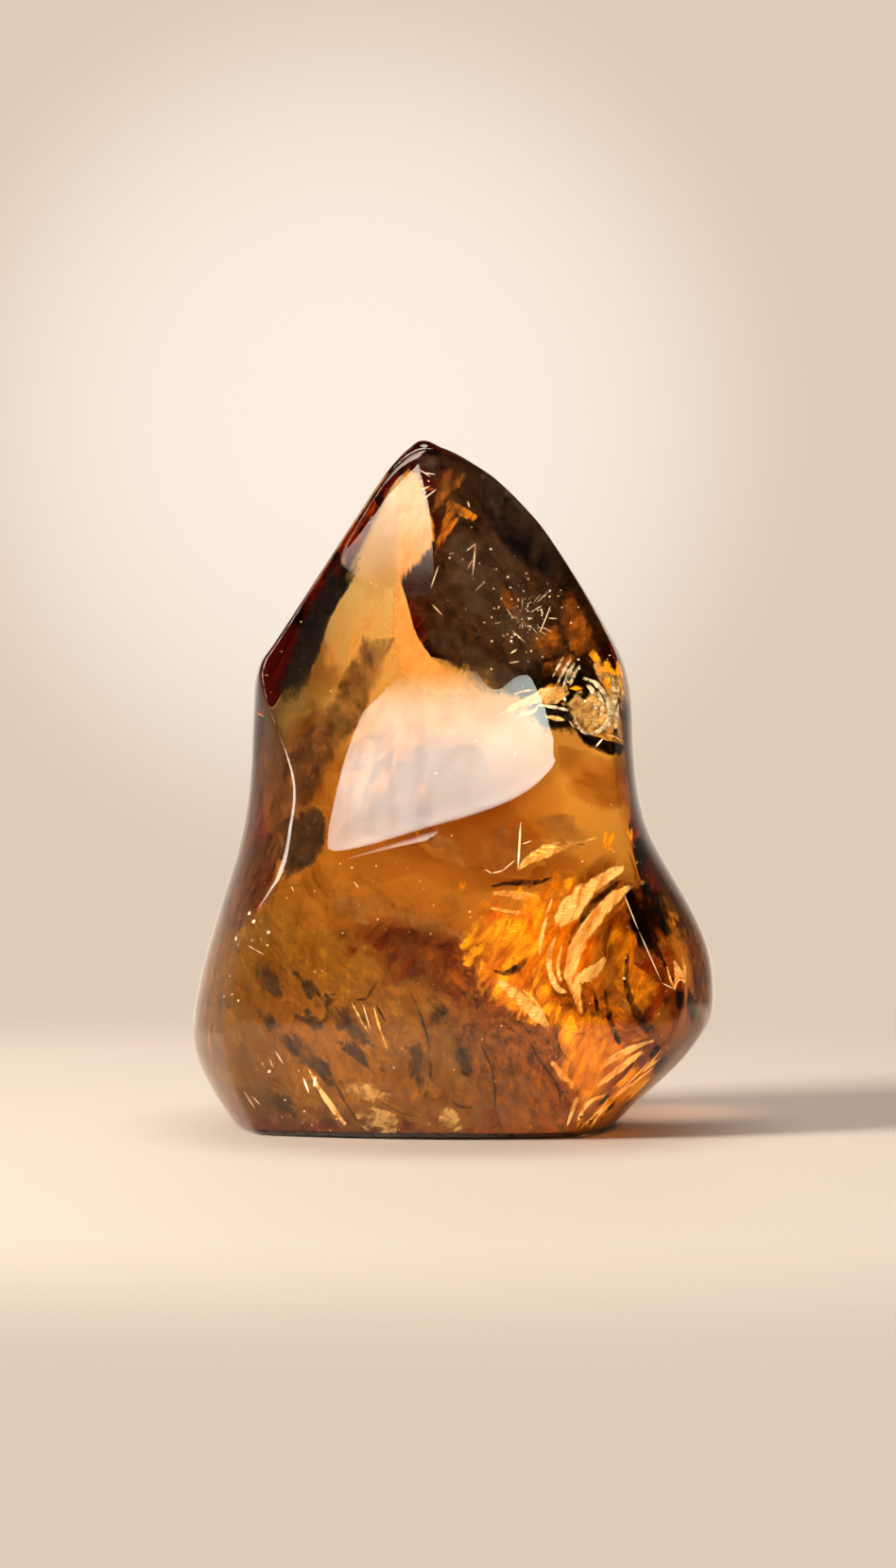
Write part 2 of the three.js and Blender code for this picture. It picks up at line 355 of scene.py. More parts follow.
def plate(outline, rng, bulge, ripple):
    """A thin shell-like plate inside an outline, with a finely ragged edge and concentric ripples."""
    outline = np.asarray(outline, float)
    closed = np.vstack([outline, outline[:1]])
    lengths = np.concatenate([[0], np.cumsum(np.linalg.norm(np.diff(closed, axis=0), axis=1))])
    count = max(PLATE_LEAST_STEPS, int(lengths[-1] / PLATE_EDGE_STEP))
    at = np.linspace(0, lengths[-1], count, endpoint=False)
    edge = np.stack([np.interp(at, lengths, closed[:, i]) for i in range(3)], -1)
    middle = edge.mean(0)
    normal = unit(np.cross(edge - middle, np.roll(edge, -1, 0) - middle).sum(0))
    ragged = 1 + rng.uniform(-PLATE_RAGGED, PLATE_RAGGED, count)[:, None]
    reach = (edge - middle) * ragged
    size = np.linalg.norm(reach, axis=1).mean()
    points, faces = [middle + normal * bulge, middle + normal * (bulge - SHEET_THICKNESS)], []
    edges = [0.0, 0.0]
    for ring in range(1, PLATE_RINGS + 1):
        share = ring / PLATE_RINGS
        lift = bulge * (1 - share ** 2) + ripple * math.sin(share * size * RIPPLES_PER_MM)
        thick = SHEET_THICKNESS * (1 - 0.9 * share ** 4)
        row = middle + reach * share + normal * lift
        points += list(row) + list(row - normal * thick)
        edges += [share] * (2 * count)
    for j in range(count):
        after = (j + 1) % count
        faces += [(0, 2 + j, 2 + after), (1, 2 + count + after, 2 + count + j)]
        for ring in range(PLATE_RINGS - 1):
            a = 2 + 2 * count * ring
            b = a + 2 * count
            faces += [(a + j, b + j, b + after, a + after),
                      (a + count + j, a + count + after, b + count + after, b + count + j)]
        a = 2 + 2 * count * (PLATE_RINGS - 1)
        faces.append((a + j, a + count + j, a + count + after, a + after))
    return np.array(points), faces, edges


def flat_bodies(outlines, rng, bulge, ripple):
    """Plates inside outlines, or strips where no bulge is given."""
    if bulge is None:
        return [ribbon(points, rng) for points in outlines]
    return [plate(points, rng, bulge, ripple) for points in outlines]


def needle(radius, start, end):
    """A spindle with four sides, sharp at both ends."""
    start, end = np.array(start, float), np.array(end, float)
    along = unit(end - start)
    side = unit(np.cross(along, [0.3, 0.9, 0.2]))
    other = np.cross(along, side)
    points = [start]
    for share in (0.25, 0.7):
        middle = start + (end - start) * share
        points += [middle + radius * way for way in (side, other, -side, -other)]
    points.append(end)
    faces = [(0, 1 + (i + 1) % 4, 1 + i) for i in range(4)]
    faces += [(1 + i, 1 + (i + 1) % 4, 5 + (i + 1) % 4, 5 + i) for i in range(4)]
    faces += [(9, 5 + i, 5 + (i + 1) % 4) for i in range(4)]
    return np.array(points), faces, [0.0] * len(points)


def grain(size, place, rng):
    """A small uneven grain with eight faces."""
    turn = np.linalg.qr(rng.normal(size=(3, 3)))[0]
    arms = np.array([(1, 0, 0), (-1, 0, 0), (0, 1, 0), (0, -1, 0), (0, 0, 1), (0, 0, -1)], float)
    arms *= rng.uniform(0.3, 1.0, (6, 1)) * size * 0.6
    points = np.asarray(place, float) + arms @ turn
    faces = [(0, 2, 4), (2, 1, 4), (1, 3, 4), (3, 0, 4), (2, 0, 5), (1, 2, 5), (3, 1, 5), (0, 3, 5)]
    return points, faces, [0.0] * len(points)


def smoke_cloud(middle, radii, tilt, rng):
    """A lumpy rounded cloud of darker smoke."""
    around = np.linspace(0, 2 * math.pi, CLOUD_SIDES, endpoint=False)[None, :]
    up = np.linspace(-math.pi / 2, math.pi / 2, CLOUD_LEVELS)[1:-1, None]
    ways = np.stack([np.cos(up) * np.cos(around), np.cos(up) * np.sin(around),
                     np.sin(up) * np.ones_like(around)], -1).reshape(-1, 3)
    ways = np.vstack([ways, [0, 0, -1], [0, 0, 1]])
    lumps = np.ones(len(ways))
    for pitch, depth in ((2.1, 0.13), (3.7, 0.09), (6.5, 0.06)):
        for _ in range(3):
            lumps += depth * np.sin(pitch * ways @ unit(rng.normal(size=3)) * 2 + rng.uniform(0, 6))
    angle = math.radians(tilt)
    turn = np.array([
        (math.cos(angle), 0, -math.sin(angle)), (0, 1, 0), (math.sin(angle), 0, math.cos(angle))])
    points = np.array(middle, float) + (ways * lumps[:, None] * radii) @ turn
    low, high, rows, sides = len(ways) - 2, len(ways) - 1, CLOUD_LEVELS - 2, CLOUD_SIDES
    faces = []
    for j in range(sides):
        after = (j + 1) % sides
        faces += [(low, after, j), (high, (rows - 1) * sides + j, (rows - 1) * sides + after)]
        faces += [(i * sides + j, i * sides + after, (i + 1) * sides + after, (i + 1) * sides + j)
                  for i in range(rows - 1)]
    return points, faces, [0.0] * len(points)


def skin_veil(turns, heights, depth):
    """A sheet that follows the surface at a depth, between two angles and two wavy heights."""
    angles = np.linspace(math.radians(turns[0]), math.radians(turns[1]), VEIL_STEPS)[None, :]
    low, high = heights
    swell = 1.8 * np.sin(3 * angles + low) + 1.3 * np.sin(8 * angles + high)
    top = np.minimum(high + swell * (high - low) / 30, 88)
    low = low + (low > 5) * 1.8 * np.sin(5 * angles + high)
    z = low + np.linspace(0, 1, VEIL_STEPS)[:, None] * (top - low)
    angles = angles + 0 * z
    outward = np.stack([np.cos(angles), np.sin(angles), 0 * angles], -1)
    return thin_sheet(surface_points(angles, z) - depth * outward, VEIL_THICKNESS)


def keep_inside(points):
    """Draws points towards the crystal's spine until they lie at least a skin below its surface."""
    points = np.array(points, float)
    axis = np.stack([spine_x(points[:, 2]), spine_y(points[:, 2]), points[:, 2]], -1)
    for _ in range(DRAWS):
        deep = outside(points[:, 0], points[:, 1], np.maximum(points[:, 2], 0)) > -LEAST_SKIN
        points[deep] += DRAW_IN * (axis[deep] - points[deep])
    points[:, 2] = np.clip(points[:, 2], LEAST_SKIN, HEIGHT - 1)
    return points


def inclusion(name, bodies, finish, smooth=True):
    """Gathers closed bodies into one piece inside the crystal."""
    points, faces, rims, count = [], [], [], 0
    for body_points, body_faces, body_rim in bodies:
        points.append(keep_inside(body_points))
        faces += [tuple(count + corner for corner in face) for face in body_faces]
        rims.extend(body_rim)
        count += len(body_points)
    made = mesh_object(name, np.vstack(points), faces, finish, smooth)
    made.data.attributes.new("rim", "FLOAT", "POINT").data.foreach_set("value", rims)
    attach(made, "root")
    return made


# ---- what lies inside --------------------------------------------------------------------------

# Fractures that catch the light, as strips through points (x, y, z, width).
LEAVES = [
    [(21.1, -12.2, 34.7, 0.4), (20.6, -12.9, 34.2, 1.3), (18, -13.3, 32.6, 2), (15.6, -13.7, 30.6,
     2.7), (13.7, -13.8, 28.4, 3), (12.9, -13.6, 26.9, 0.8)],
    [(22.3, -12.2, 32.2, 0.5), (20.1, -12.7, 30.7, 1.6), (18.2, -13.1, 28.9, 2.3), (16.3, -13.6, 26.3,
     2.5), (14.9, -13.9, 23.8, 2), (14.5, -13.8, 21.2, 2.2), (14.9, -13.5, 18.8, 1.7), (15.6, -13.1,
     15.9, 0.3)],
    [(18.8, -12.6, 23, 0.4), (17.9, -13, 21.9, 1.3), (16.7, -13.5, 20.9, 2), (15.3, -13.9, 20.3, 1.4)],
    [(12.6, -15.8, 25.9, 0.3), (11.8, -16.3, 23.5, 0.7), (12, -16.5, 21.2, 0.7), (12.9, -16.5, 19.3,
     0.8), (14, -16.3, 18.8, 0.3)],
    [(13.4, -15.8, 24.7, 0.2), (12.9, -16.2, 22.3, 0.5), (13.2, -16.4, 20.2, 0.5)],
    [(12.2, -15.2, 30.7, 0.2), (11.5, -15.7, 28.3, 0.4), (10.9, -16.1, 25.9, 0.5), (10.6, -16.5, 23.5,
     0.2)],
    [(4.9, -16.5, 20.5, 0.4), (7, -16.4, 19.1, 1.3), (8.8, -16.3, 17.4, 1.6), (10.5, -16.2, 15.8, 1.5),
     (11.6, -16, 14.6, 0.7)],
    [(8.4, -15.3, 19.2, 0.2), (10, -15.2, 17.6, 0.5), (11.4, -15, 15.3, 0.3)],
    [(4.7, -10.1, 30.8, 0.3), (6.9, -9.9, 30.7, 1.1), (8.7, -9.7, 30.4, 1.3), (10.6, -9.5, 30.2, 0.5)],
    [(4.2, -11.4, 29.1, 0.2), (6.7, -11.2, 28.6, 0.5), (9.2, -11, 28.3, 0.5), (11.1, -10.6, 29, 0.2)],
    [(7.9, -12.3, 34, 0.3), (9.3, -11.9, 35.2, 1.3), (11.1, -11.5, 36.1, 1.9), (13, -11, 36.8, 1.6),
     (14.6, -10.5, 37.4, 0.6)],
    [(14.4, -10.6, 37.1, 0.5), (16, -10.2, 37.5, 0.4), (17.7, -9.6, 37.9, 0.1)],
    [(14.7, -11.7, 8.3, 0.3), (13.2, -12.6, 9.4, 0.9), (11.8, -13.5, 10.8, 0.3)],
    [(18, -11.7, 10, 0.5), (20.3, -11.3, 11.3, 0.9), (22.7, -10.7, 12.2, 0.6), (24.8, -9.9, 12.8,
     0.2)],
    [(16.9, -10.9, 7.8, 0.4), (19, -10.9, 9, 0.8), (21.1, -10.8, 10.3, 0.8), (23.6, -10.3, 11.8, 0.3)],
    [(15.4, -11.8, 6.9, 0.7), (14.6, -10.8, 5.1, 0.6), (14.1, -9.3, 3.5, 0.2)],
    [(18.9, -11.9, 6.9, 0.3), (16.6, -10.5, 6.1, 0.6), (15.2, -8.8, 4.2, 0.3)],
    [(27.6, -12.8, 19, 0.3), (27.8, -12.4, 20.8, 0.6), (27.1, -11.2, 22.4, 0.1)],
    [(26.6, -13, 21.9, 0.1), (27.1, -12.9, 20.2, 0.3), (27.7, -12.8, 18.8, 0.2)],
    [(-18.3, -17.7, 9.8, 0.2), (-17, -17, 7.3, 0.5), (-15.2, -16, 4.6, 0.9), (-13.6, -14.5, 2.4, 0.4)],
    [(-12.6, -17.3, 17.7, 0.1), (-11.5, -17.7, 15.7, 0.4), (-10.4, -17.8, 13.9, 0.2)],
    [(-9.8, -17.9, 17.1, 0.1), (-9.1, -18.1, 14.6, 0.3), (-8.1, -18, 11.9, 0.1)],
    [(6, -11.8, 53.9, 0.3), (7.8, -11.3, 55, 0.9), (9.8, -11, 55.8, 1.5), (12, -10.7, 56.6, 2.2),
     (13.7, -10.5, 56.8, 1.9), (14.7, -10.5, 56.8, 0.5)],
    [(7.8, -10.7, 56.7, 0.1), (9.3, -10.5, 57.1, 0.3), (10.5, -10.5, 57.2, 0.2)],
    [(8, -12, 53.7, 0.2), (9.3, -11.8, 54.1, 0.5), (10.5, -11.7, 54.5, 0.5), (10.9, -11.3, 55.2, 0.2)],
    [(11.8, -12.3, 53.8, 0.2), (13.1, -12.5, 53.6, 0.8), (14.3, -12.7, 53.3, 0.2)],
    [(20.4, -9, 55.2, 0.4), (21.1, -6.3, 53.7, 0.8), (20.8, -7.9, 52.3, 0.3)],
    [(19.6, -13, 51.5, 0.3), (19.8, -12.4, 51.3, 0.8), (20.8, -9, 50.5, 0.7), (21.3, -6.8, 50.1, 0.2)],
]

# Shell-like ripples of the fracture at the right shoulder.
SILVER_ARCS = [
    [(16.7, -8.9, 58.6, 0.4), (18.3, -9.2, 57.9, 0.7), (19.5, -10, 56.4, 0.8), (20.1, -11, 54.6, 0.8),
     (19.8, -12, 52.9, 0.8), (18.7, -12.6, 51.8, 0.6), (17, -12.9, 51.5, 0.5), (15.8, -12.2, 52.7, 0.6),
     (15.3, -11.2, 54.4, 0.4)],
    [(17.1, -9, 58, 0.4), (17.9, -9.6, 56.8, 0.8), (18.3, -10.7, 54.8, 0.8), (18, -11.8, 52.9, 0.5)],
    [(18.5, -9.2, 57, 0.4), (19.1, -10.3, 55.1, 0.8), (18.8, -11.5, 53.1, 0.6), (17.7, -12, 52.1,
     0.3)],
    [(16, -9.5, 56.3, 0.3), (16.7, -10.3, 54.7, 0.7), (16.4, -11.3, 53, 0.4)],
    [(17.3, -9.4, 55.9, 0.3), (17.5, -10.4, 54.2, 0.8), (17.1, -11.2, 52.7, 0.3)],
    [(10.7, -11.5, 55.3, 0.2), (12.8, -11.7, 55, 0.5), (15.3, -12, 54.5, 0.3)],
    [(13.4, -9.8, 57.9, 0.2), (14.2, -8.9, 59.6, 0.6), (15.2, -8.1, 61.2, 0.2)],
    [(14.1, -10, 57.4, 0.2), (14.9, -9, 59.3, 0.8), (15.8, -8.2, 60.9, 0.2)],
    [(14.9, -9.9, 57.5, 0.2), (15.5, -9.1, 59.1, 0.7), (16.4, -8.4, 60.4, 0.2)],
    [(12.8, -9.3, 58.8, 0.1), (13.7, -8.5, 60.4, 0.5), (14.3, -7.9, 61.5, 0.1)],
    [(20.5, -7.8, 58.6, 0.2), (20.7, -9.1, 56.3, 0.6), (20.4, -10.3, 54.2, 0.3)],
]

# Dark brown lines and bands.
SWIRLS = [
    [(22.3, -12.3, 30.9, 0.5), (24.2, -12.6, 27.9, 0.6), (25.2, -12.7, 24.5, 0.6), (26.6, -12.5, 21.4,
     0.5), (28, -12, 18.8, 0.2)],
    [(21.5, -12.7, 23.5, 0.4), (21.3, -13.1, 20.3, 1), (22, -13.1, 17.4, 1.3), (23.5, -12.7, 14.7,
     1.5), (25.1, -12, 13.7, 0.6)],
    [(18.5, -12.1, 19.1, 0.4), (18.9, -12.2, 16.2, 0.8), (19.6, -11.9, 13.8, 0.9), (20.5, -11.4, 12.1,
     0.3)],
    [(17, -12.5, 19, 0.3), (17.5, -12.5, 16.7, 0.6), (17.8, -12.5, 14.4, 0.3)],
    [(21.2, -13.5, 33, 0.3), (19, -14.5, 31.4, 0.9), (16.8, -15.4, 29.3, 1.1), (15, -16.2, 26.6, 0.9),
     (14.1, -16.7, 24.5, 0.3)],
    [(4.4, -11, 31.7, 0.3), (7.5, -10.6, 32.2, 0.9), (9.9, -10.3, 32.2, 0.8), (12.2, -9.8, 32.9, 0.2)],
    [(-12.1, -16.9, 17.9, 0.2), (-10.7, -17.2, 18.2, 0.5), (-9.9, -17.3, 19.4, 0.4), (-9, -17.3, 20.9,
     0.1)],
    [(-9.7, -16.9, 17.7, 0.1), (-9, -17.1, 16.5, 0.4), (-8.3, -17.2, 15.2, 0.1)],
    [(-23.5, -14.8, 8.4, 0.1), (-21.8, -15.1, 7.7, 0.2), (-20.7, -14.9, 6.5, 0.1)],
    [(-28.4, -5.8, 22.1, 0.1), (-28.1, -8.4, 20.2, 0.2), (-27.4, -11.4, 18.6, 0.2), (-27.2, -13.3,
     17.2, 0.1)],
    [(-5.7, -16.3, 20, 0.1), (-3.4, -16.8, 14.3, 0.4), (-2.8, -16.1, 10.1, 0.4), (-3.7, -13.8, 5.8,
     0.1)],
    [(-1.1, -16.9, 14.3, 0.1), (-0.2, -16.6, 11.3, 0.4), (1.4, -16, 9.5, 0.5), (2.4, -15.3, 8, 0.1)],
    [(3, -17.8, 13.3, 0.1), (4.7, -17.1, 10, 0.4), (5.2, -15.5, 6.8, 0.3), (4.8, -13, 3.4, 0.1)],
    [(9.3, -17.3, 13.2, 0.1), (10.5, -16.7, 11, 0.4), (12.9, -15.1, 7.8, 0.5), (13.4, -12.7, 4.4,
     0.1)],
    [(-14.7, -16.3, 7.8, 0.3), (-13.4, -15.3, 5.4, 0.6), (-11.8, -13.6, 2.9, 0.3)],
    [(-9.4, -16.4, 6, 0.1), (-6.5, -15.8, 4.4, 0.3), (-4.1, -15.7, 3.9, 0.1)],
    [(-0.4, -16.6, 6.7, 0.1), (0.5, -15.9, 5.5, 0.5), (2.4, -15.7, 5.3, 0.2)],
    [(9.3, -14.7, 23.4, 0.3), (7.9, -15.1, 21.8, 1.2), (6.4, -15.3, 21.1, 0.8), (4.7, -15.4, 21.5,
     0.2)],
    [(13.9, -14.5, 17.3, 0.2), (12.5, -14.8, 14.2, 1), (12.7, -14.5, 12, 1.2), (14.1, -14, 10.8, 0.3)],
]

# Outlines of the orange-gold plates deep in the body and at the right shoulder.
GOLD_PLATES = [
    [(0.5, -14.9, 26), (2.6, -14.5, 28.4), (5.8, -14.3, 28.7), (9.3, -14.1, 27.7), (12.1, -13.8, 26.2),
     (12.1, -14.2, 23.4), (10.4, -14.8, 20.6), (7.4, -15.2, 20.6), (5.1, -15.3, 21.5), (3.3, -15.6,
     20.6), (1.2, -15.4, 22.5)],
    [(1, -15.4, 22.2), (1.9, -15.3, 23.1), (2.8, -15.3, 22.9), (2.4, -15.5, 21.7)],
    [(2.4, -15.7, 19.9), (4.4, -15.4, 21.5), (7.4, -15.2, 21.1), (10.4, -14.9, 19.4), (11.6, -15,
     16.4), (10, -15.2, 14.7), (7, -15.6, 15.8), (4.2, -15.8, 17.4)],
    [(9.3, -14.9, 21.3), (11.4, -14.8, 19.9), (12.7, -14.6, 18), (12, -14.9, 15.1), (10.7, -15.1,
     17.1), (9.4, -15.1, 19)],
    [(7.9, -12.6, 32.2), (10.6, -12.4, 31), (12, -12.5, 28.5), (10.6, -13.1, 25.7), (8.8, -13.2, 27.4),
     (7.6, -13, 29.9)],
    [(14.6, -12.3, 14.1), (16.3, -11.9, 16.2), (17.5, -11.5, 13.8), (18.2, -11.2, 12.1), (20, -10.4,
     11.1), (19.1, -10.1, 9.6), (18, -9.4, 7.7), (15.7, -9.4, 6.7), (14.3, -10.8, 8.4), (13.8, -12.1,
     11)],
    [(15.7, -13, 13.3), (16.6, -12.8, 14.3), (17.5, -12.4, 12.4), (18.5, -11.9, 11.1), (18.1, -11.3,
     9.2), (16.4, -11.5, 8.7), (15.2, -12.5, 10.2)],
    [(11.7, -13.5, 11), (13.4, -12.9, 10.1), (14.8, -12.1, 9.1), (14.6, -11.4, 7.7), (13, -12.4, 8.7)],
    [(21, -12.2, 8.6), (22.7, -11.9, 10.5), (22.9, -6, 10.1), (20.9, -3.8, 7.8), (18.7, -7.9, 7),
     (19.5, -11.8, 7.6)],
    [(25.2, -9.2, 27.9), (26.4, -4.6, 28.3), (27.2, -4.5, 27), (26.1, -10.1, 25.6), (25.7, -12.7,
     25.9)],
    [(12.8, -15.7, 17.4), (14.7, -15.4, 16), (15.4, -15.2, 14), (14.4, -15.1, 11.8), (13, -15.6, 13.4),
     (12.1, -15.9, 15.4)],
    [(12.8, -12.7, 32.9), (15.3, -12.1, 33.4), (13.9, -12.8, 31.1), (12.3, -13.2, 30.3), (11.4, -13.2,
     31.2)],
    [(18.7, -11.2, 38.8), (20.2, -10.4, 39), (19.6, -10.7, 36.8), (19.9, -11.4, 35.8), (18.2, -11.8,
     36.4)],
    [(18.6, -8.1, 59.4), (19.6, -7.3, 60.8), (20.2, -7.2, 60.7), (20.6, -4.2, 59.4), (20.9, -8.3,
     58.8), (19.8, -8.3, 59.1)],
    [(18.8, -8.4, 58.4), (20.3, -8.2, 58.8), (20.3, -8.6, 57.9), (20.8, -5.1, 56.5), (20.4, -7.5,
     55.8), (20.5, -9.8, 55.8), (19.4, -9.1, 57.1)],
    [(19.9, -11.4, 53.5), (19.9, -10.9, 54.3), (19.9, -10.6, 52.9), (20, -12.1, 52.2)],
    [(17.1, -6.9, 61.9), (18.1, -6.5, 62.5), (19.1, -7.3, 60.9), (18.1, -7.7, 60.3)],
    [(10, -10.4, 57.1), (11.7, -10, 57.9), (13.7, -9.7, 58.4), (14.1, -10.1, 57.6), (12.2, -10.4,
     57.2)],
    [(14.9, -9.8, 57.3), (15.9, -9.6, 57.7), (16.9, -9.8, 57.3), (15.8, -10, 57)],
]

# Outlines of the rust-brown patches in the dark upper part.
RUST_PATCHES = [
    [(13.7, -1, 70.8), (15.2, -1, 70.4), (17.2, -2.5, 66.5), (19.1, -4.7, 61.5), (17.2, -5.6, 60.1),
     (15.2, -5, 61.6), (13.7, -3.2, 65.5)],
    [(4.7, 0.1, 72.3), (6.2, -0.2, 71.4), (10.1, -2.6, 64.9), (8.5, -2.8, 64.5), (6.3, -1.5, 67.7)],
    [(11.1, -6.4, 59.9), (14.7, -5.4, 61.9), (16.4, -6, 60.4), (13.7, -7.2, 58.2), (11.3, -7.4, 58)],
    [(9.9, -3.2, 64.8), (13.5, -2.8, 65.2), (14.7, -4.1, 62.2), (12.3, -5.2, 60.3), (9.4, -4.6, 61.5)],
    [(-1.2, -0.5, 86.4), (0.3, -0.6, 86.2), (1.8, -0.8, 85.3), (1, -1.1, 83.9), (-0.7, -1.5, 82.2),
     (-2.4, -1.9, 80.2), (-3.4, -1.9, 80), (-2.4, -1.2, 82.9)],
    [(3.5, 3.3, 77.7), (4.9, 3.1, 76.9), (6.1, 2.2, 73.9), (4.9, 1.8, 72.6), (3.5, 2.4, 74.7)],
]

# Outlines of the iron-orange flakes under the tip.
ORANGE_FLAKES = [
    [(-0.8, 0.4, 81.9), (0.3, 0.2, 81.4), (0.9, -0.3, 79.6), (-0.6, -0.9, 77.1), (-2.7, -1.7, 73.8),
     (-2.2, -1, 76.6), (-1.4, -0.3, 79.1), (-0.9, 0, 80.6)],
    [(-0.5, 0, 82.1), (1, -0.2, 81.5), (2.3, -0.5, 80.5), (3.4, -0.6, 79.7), (2.5, -0.8, 79.1), (1,
     -0.6, 79.7), (-0.2, -0.4, 80.5)],
    [(-14.4, -0.4, 74.5), (-13.7, -0.4, 75), (-13.9, -0.8, 73.5), (-14.5, -0.9, 72.5)],
]

# Outlines of the dark flakes, and of dark plates that give a painted shade where gaps look black.
DARK_FLAKES = [
    [(-19.8, -9, 48.6), (-19.1, -8.6, 50.1), (-18, -8.9, 50.6), (-17.2, -8.8, 51.7), (-16.2, -8.8,
     52.5), (-15.3, -8.8, 53.4), (-15.2, -9.4, 52.2), (-16.1, -9.6, 51.1), (-17.3, -9.5, 50.1), (-18.4,
     -9.3, 49.3), (-19.3, -9.3, 48.4)],
    [(-13.2, -1, 76.4), (-11.5, -2.1, 74), (-13.6, -2.6, 70.3), (-15.6, -3.1, 66.8), (-17, -4.3, 62.2),
     (-18.9, -5.4, 57.2), (-21.1, -5.5, 54.3), (-23.4, -4, 55), (-23, -3.2, 57.5), (-21.8, -2.6, 60.9),
     (-20.4, -1.9, 64.9), (-18.2, -1.2, 69.8), (-15.9, -0.9, 73.8)],
    [(2.6, -6.8, 58.2), (5, -6.2, 59.7), (8, -5.9, 60.6), (11.7, -5.5, 61.4), (15.2, -5, 62.1), (17.6,
     -5.1, 61.6), (18.8, -6.7, 58.5), (20.1, -8.7, 54.8), (19.9, -10.4, 51.9), (17.9, -11.3, 50.4),
     (14.6, -11, 50.8), (11.8, -10.7, 51.2), (9.9, -9.8, 52.8), (8.4, -8.4, 55.3), (5.2, -7.7, 56.5)],
    [(10.4, -11.2, 54.8), (12.2, -11.1, 55), (14.6, -11.4, 54.7), (15.7, -11.9, 53.7), (14.9, -12.8,
     52.1), (12.8, -12.9, 51.8), (11.1, -12.5, 52.5)],
    [(14.9, -11.5, 52.3), (17.2, -12.1, 51.3), (19.7, -12.2, 50.6), (20.7, -6.1, 49.9), (19.7, -11,
     48.5), (18.5, -13, 49.1), (16.3, -12.8, 50)],
    [(14.7, -6.5, 60.5), (16.8, -7.1, 59), (19.5, -7.9, 57.4), (20.3, -4.1, 55.4), (20.6, -3.5, 51.7),
     (19.6, -11.6, 50.4), (17.7, -11.5, 51.2), (15.4, -10.1, 53.6), (14.4, -8.1, 57.3)],
    [(20.9, -12.6, 32.7), (21.9, -10.2, 32.2), (24.5, -7.1, 29), (25.5, -9.9, 25), (25.9, -12.2, 22.1),
     (23.7, -13, 23.1), (21.6, -13.2, 27)],
    [(21.4, -10.5, 31.8), (20.8, -9.9, 31.5), (22.5, -8, 28.8), (24.7, -9.8, 25.4), (24.8, -10.5,
     22.9), (22.8, -11.1, 24.1), (21.8, -11, 27.4)],
    [(27.5, -12.1, 19.5), (28.8, -8.4, 17.4), (29.3, -5.2, 14.9), (28.2, -8, 14.5), (27.6, -12.5,
     16.4)],
    [(18.3, -12.6, 6), (19.4, -12.9, 7.1), (18.3, -9.2, 6.1), (17, -9.4, 5)],
    [(24.3, -13.8, 11.1), (25.1, -12.7, 12.8), (26.3, -4.1, 10.9), (24.5, -5.8, 9.5), (23.3, -10.8,
     10.1)],
    [(19.2, -3.7, 4.2), (22.4, -0.6, 6.7), (24.5, -3.6, 9.1), (24.5, -4.6, 9.3), (22, -3, 6.7), (19.8,
     -2.4, 4.4)],
    [(1.9, -0.7, 86.8), (3.9, -0.9, 85.3), (5.8, -1.1, 83.9), (8.2, -1.5, 81.7), (10.5, -2, 79.1),
     (12.9, -3, 75.6), (15, -4.1, 72), (13.8, -4.8, 70.8), (10.6, -4.4, 72.3), (7.4, -3.6, 75), (5,
     -2.8, 78.2), (3, -1.7, 82.5)],
]

# Outlines of the mottled brown veils.
BROWN_VEILS = [
    [(-11.5, -18.5, 25.9), (-8.2, -18.8, 27.8), (-2.9, -19.3, 28.1), (2.4, -19.7, 26.2), (3.8, -20.1,
     23.1), (1.4, -20.5, 20.1), (-4.7, -20.3, 19.1), (-9.9, -19.5, 20.7)],
    [(-21.8, -9.8, 30), (-17.1, -11, 32.9), (-9.1, -12.5, 35.7), (-1.1, -13.6, 34.7), (4.7, -14.2,
     30.6), (2.4, -14.8, 26.4), (-1.1, -15.2, 23.4), (-11.5, -14, 22.7), (-20.8, -11.1, 24.3)],
    [(-19.9, 2.6, 60.2), (-17.5, 1.9, 61.4), (-15.1, -1.6, 55.1), (-15.5, -4.7, 47.7), (-15.4, -8.6,
     40.3), (-17.6, -10.2, 35.5), (-19.7, -7.4, 37.9), (-19.7, -2.5, 47.8)],
    [(-24.6, -1.4, 18.6), (-8.8, -7.1, 13.9), (4.5, -7.6, 12), (18, -3.6, 8.8), (9.1, -2.7, 5.6),
     (-14.6, -0.9, 5.4), (-24.6, -0.7, 9.4)],
]

# Outlines of the milky brown haze low on the left.
MILKY_VEILS = [
    [(-30.2, -0.6, 22.9), (-29.3, 0.2, 26.4), (-24.3, -13.5, 29.6), (-17.8, -17, 29.7), (-11.8, -18.9,
     26.8), (-7.1, -20.3, 22.7), (-2.3, -21.2, 18), (1.2, -21.1, 12.2), (2.4, -15.7, 1.9), (-4.7, -15,
     1.4), (-16.7, -12.8, 1.5), (-25.4, -9.6, 2.6), (-29.5, -4.3, 6.4), (-32.2, -0.2, 12.7)],
    [(-28.2, 0.5, 21.5), (-23.9, -10.1, 26.6), (-18.7, -13.4, 28.2), (-9.3, -16.2, 24.7), (-1.1, -17.5,
     21.3), (5.9, -17.7, 14.4), (4.8, -13, 3.4), (-15.3, -10, 2.4), (-24.1, -7.1, 3.8), (-28.7, -4.1,
     11.1)],
]
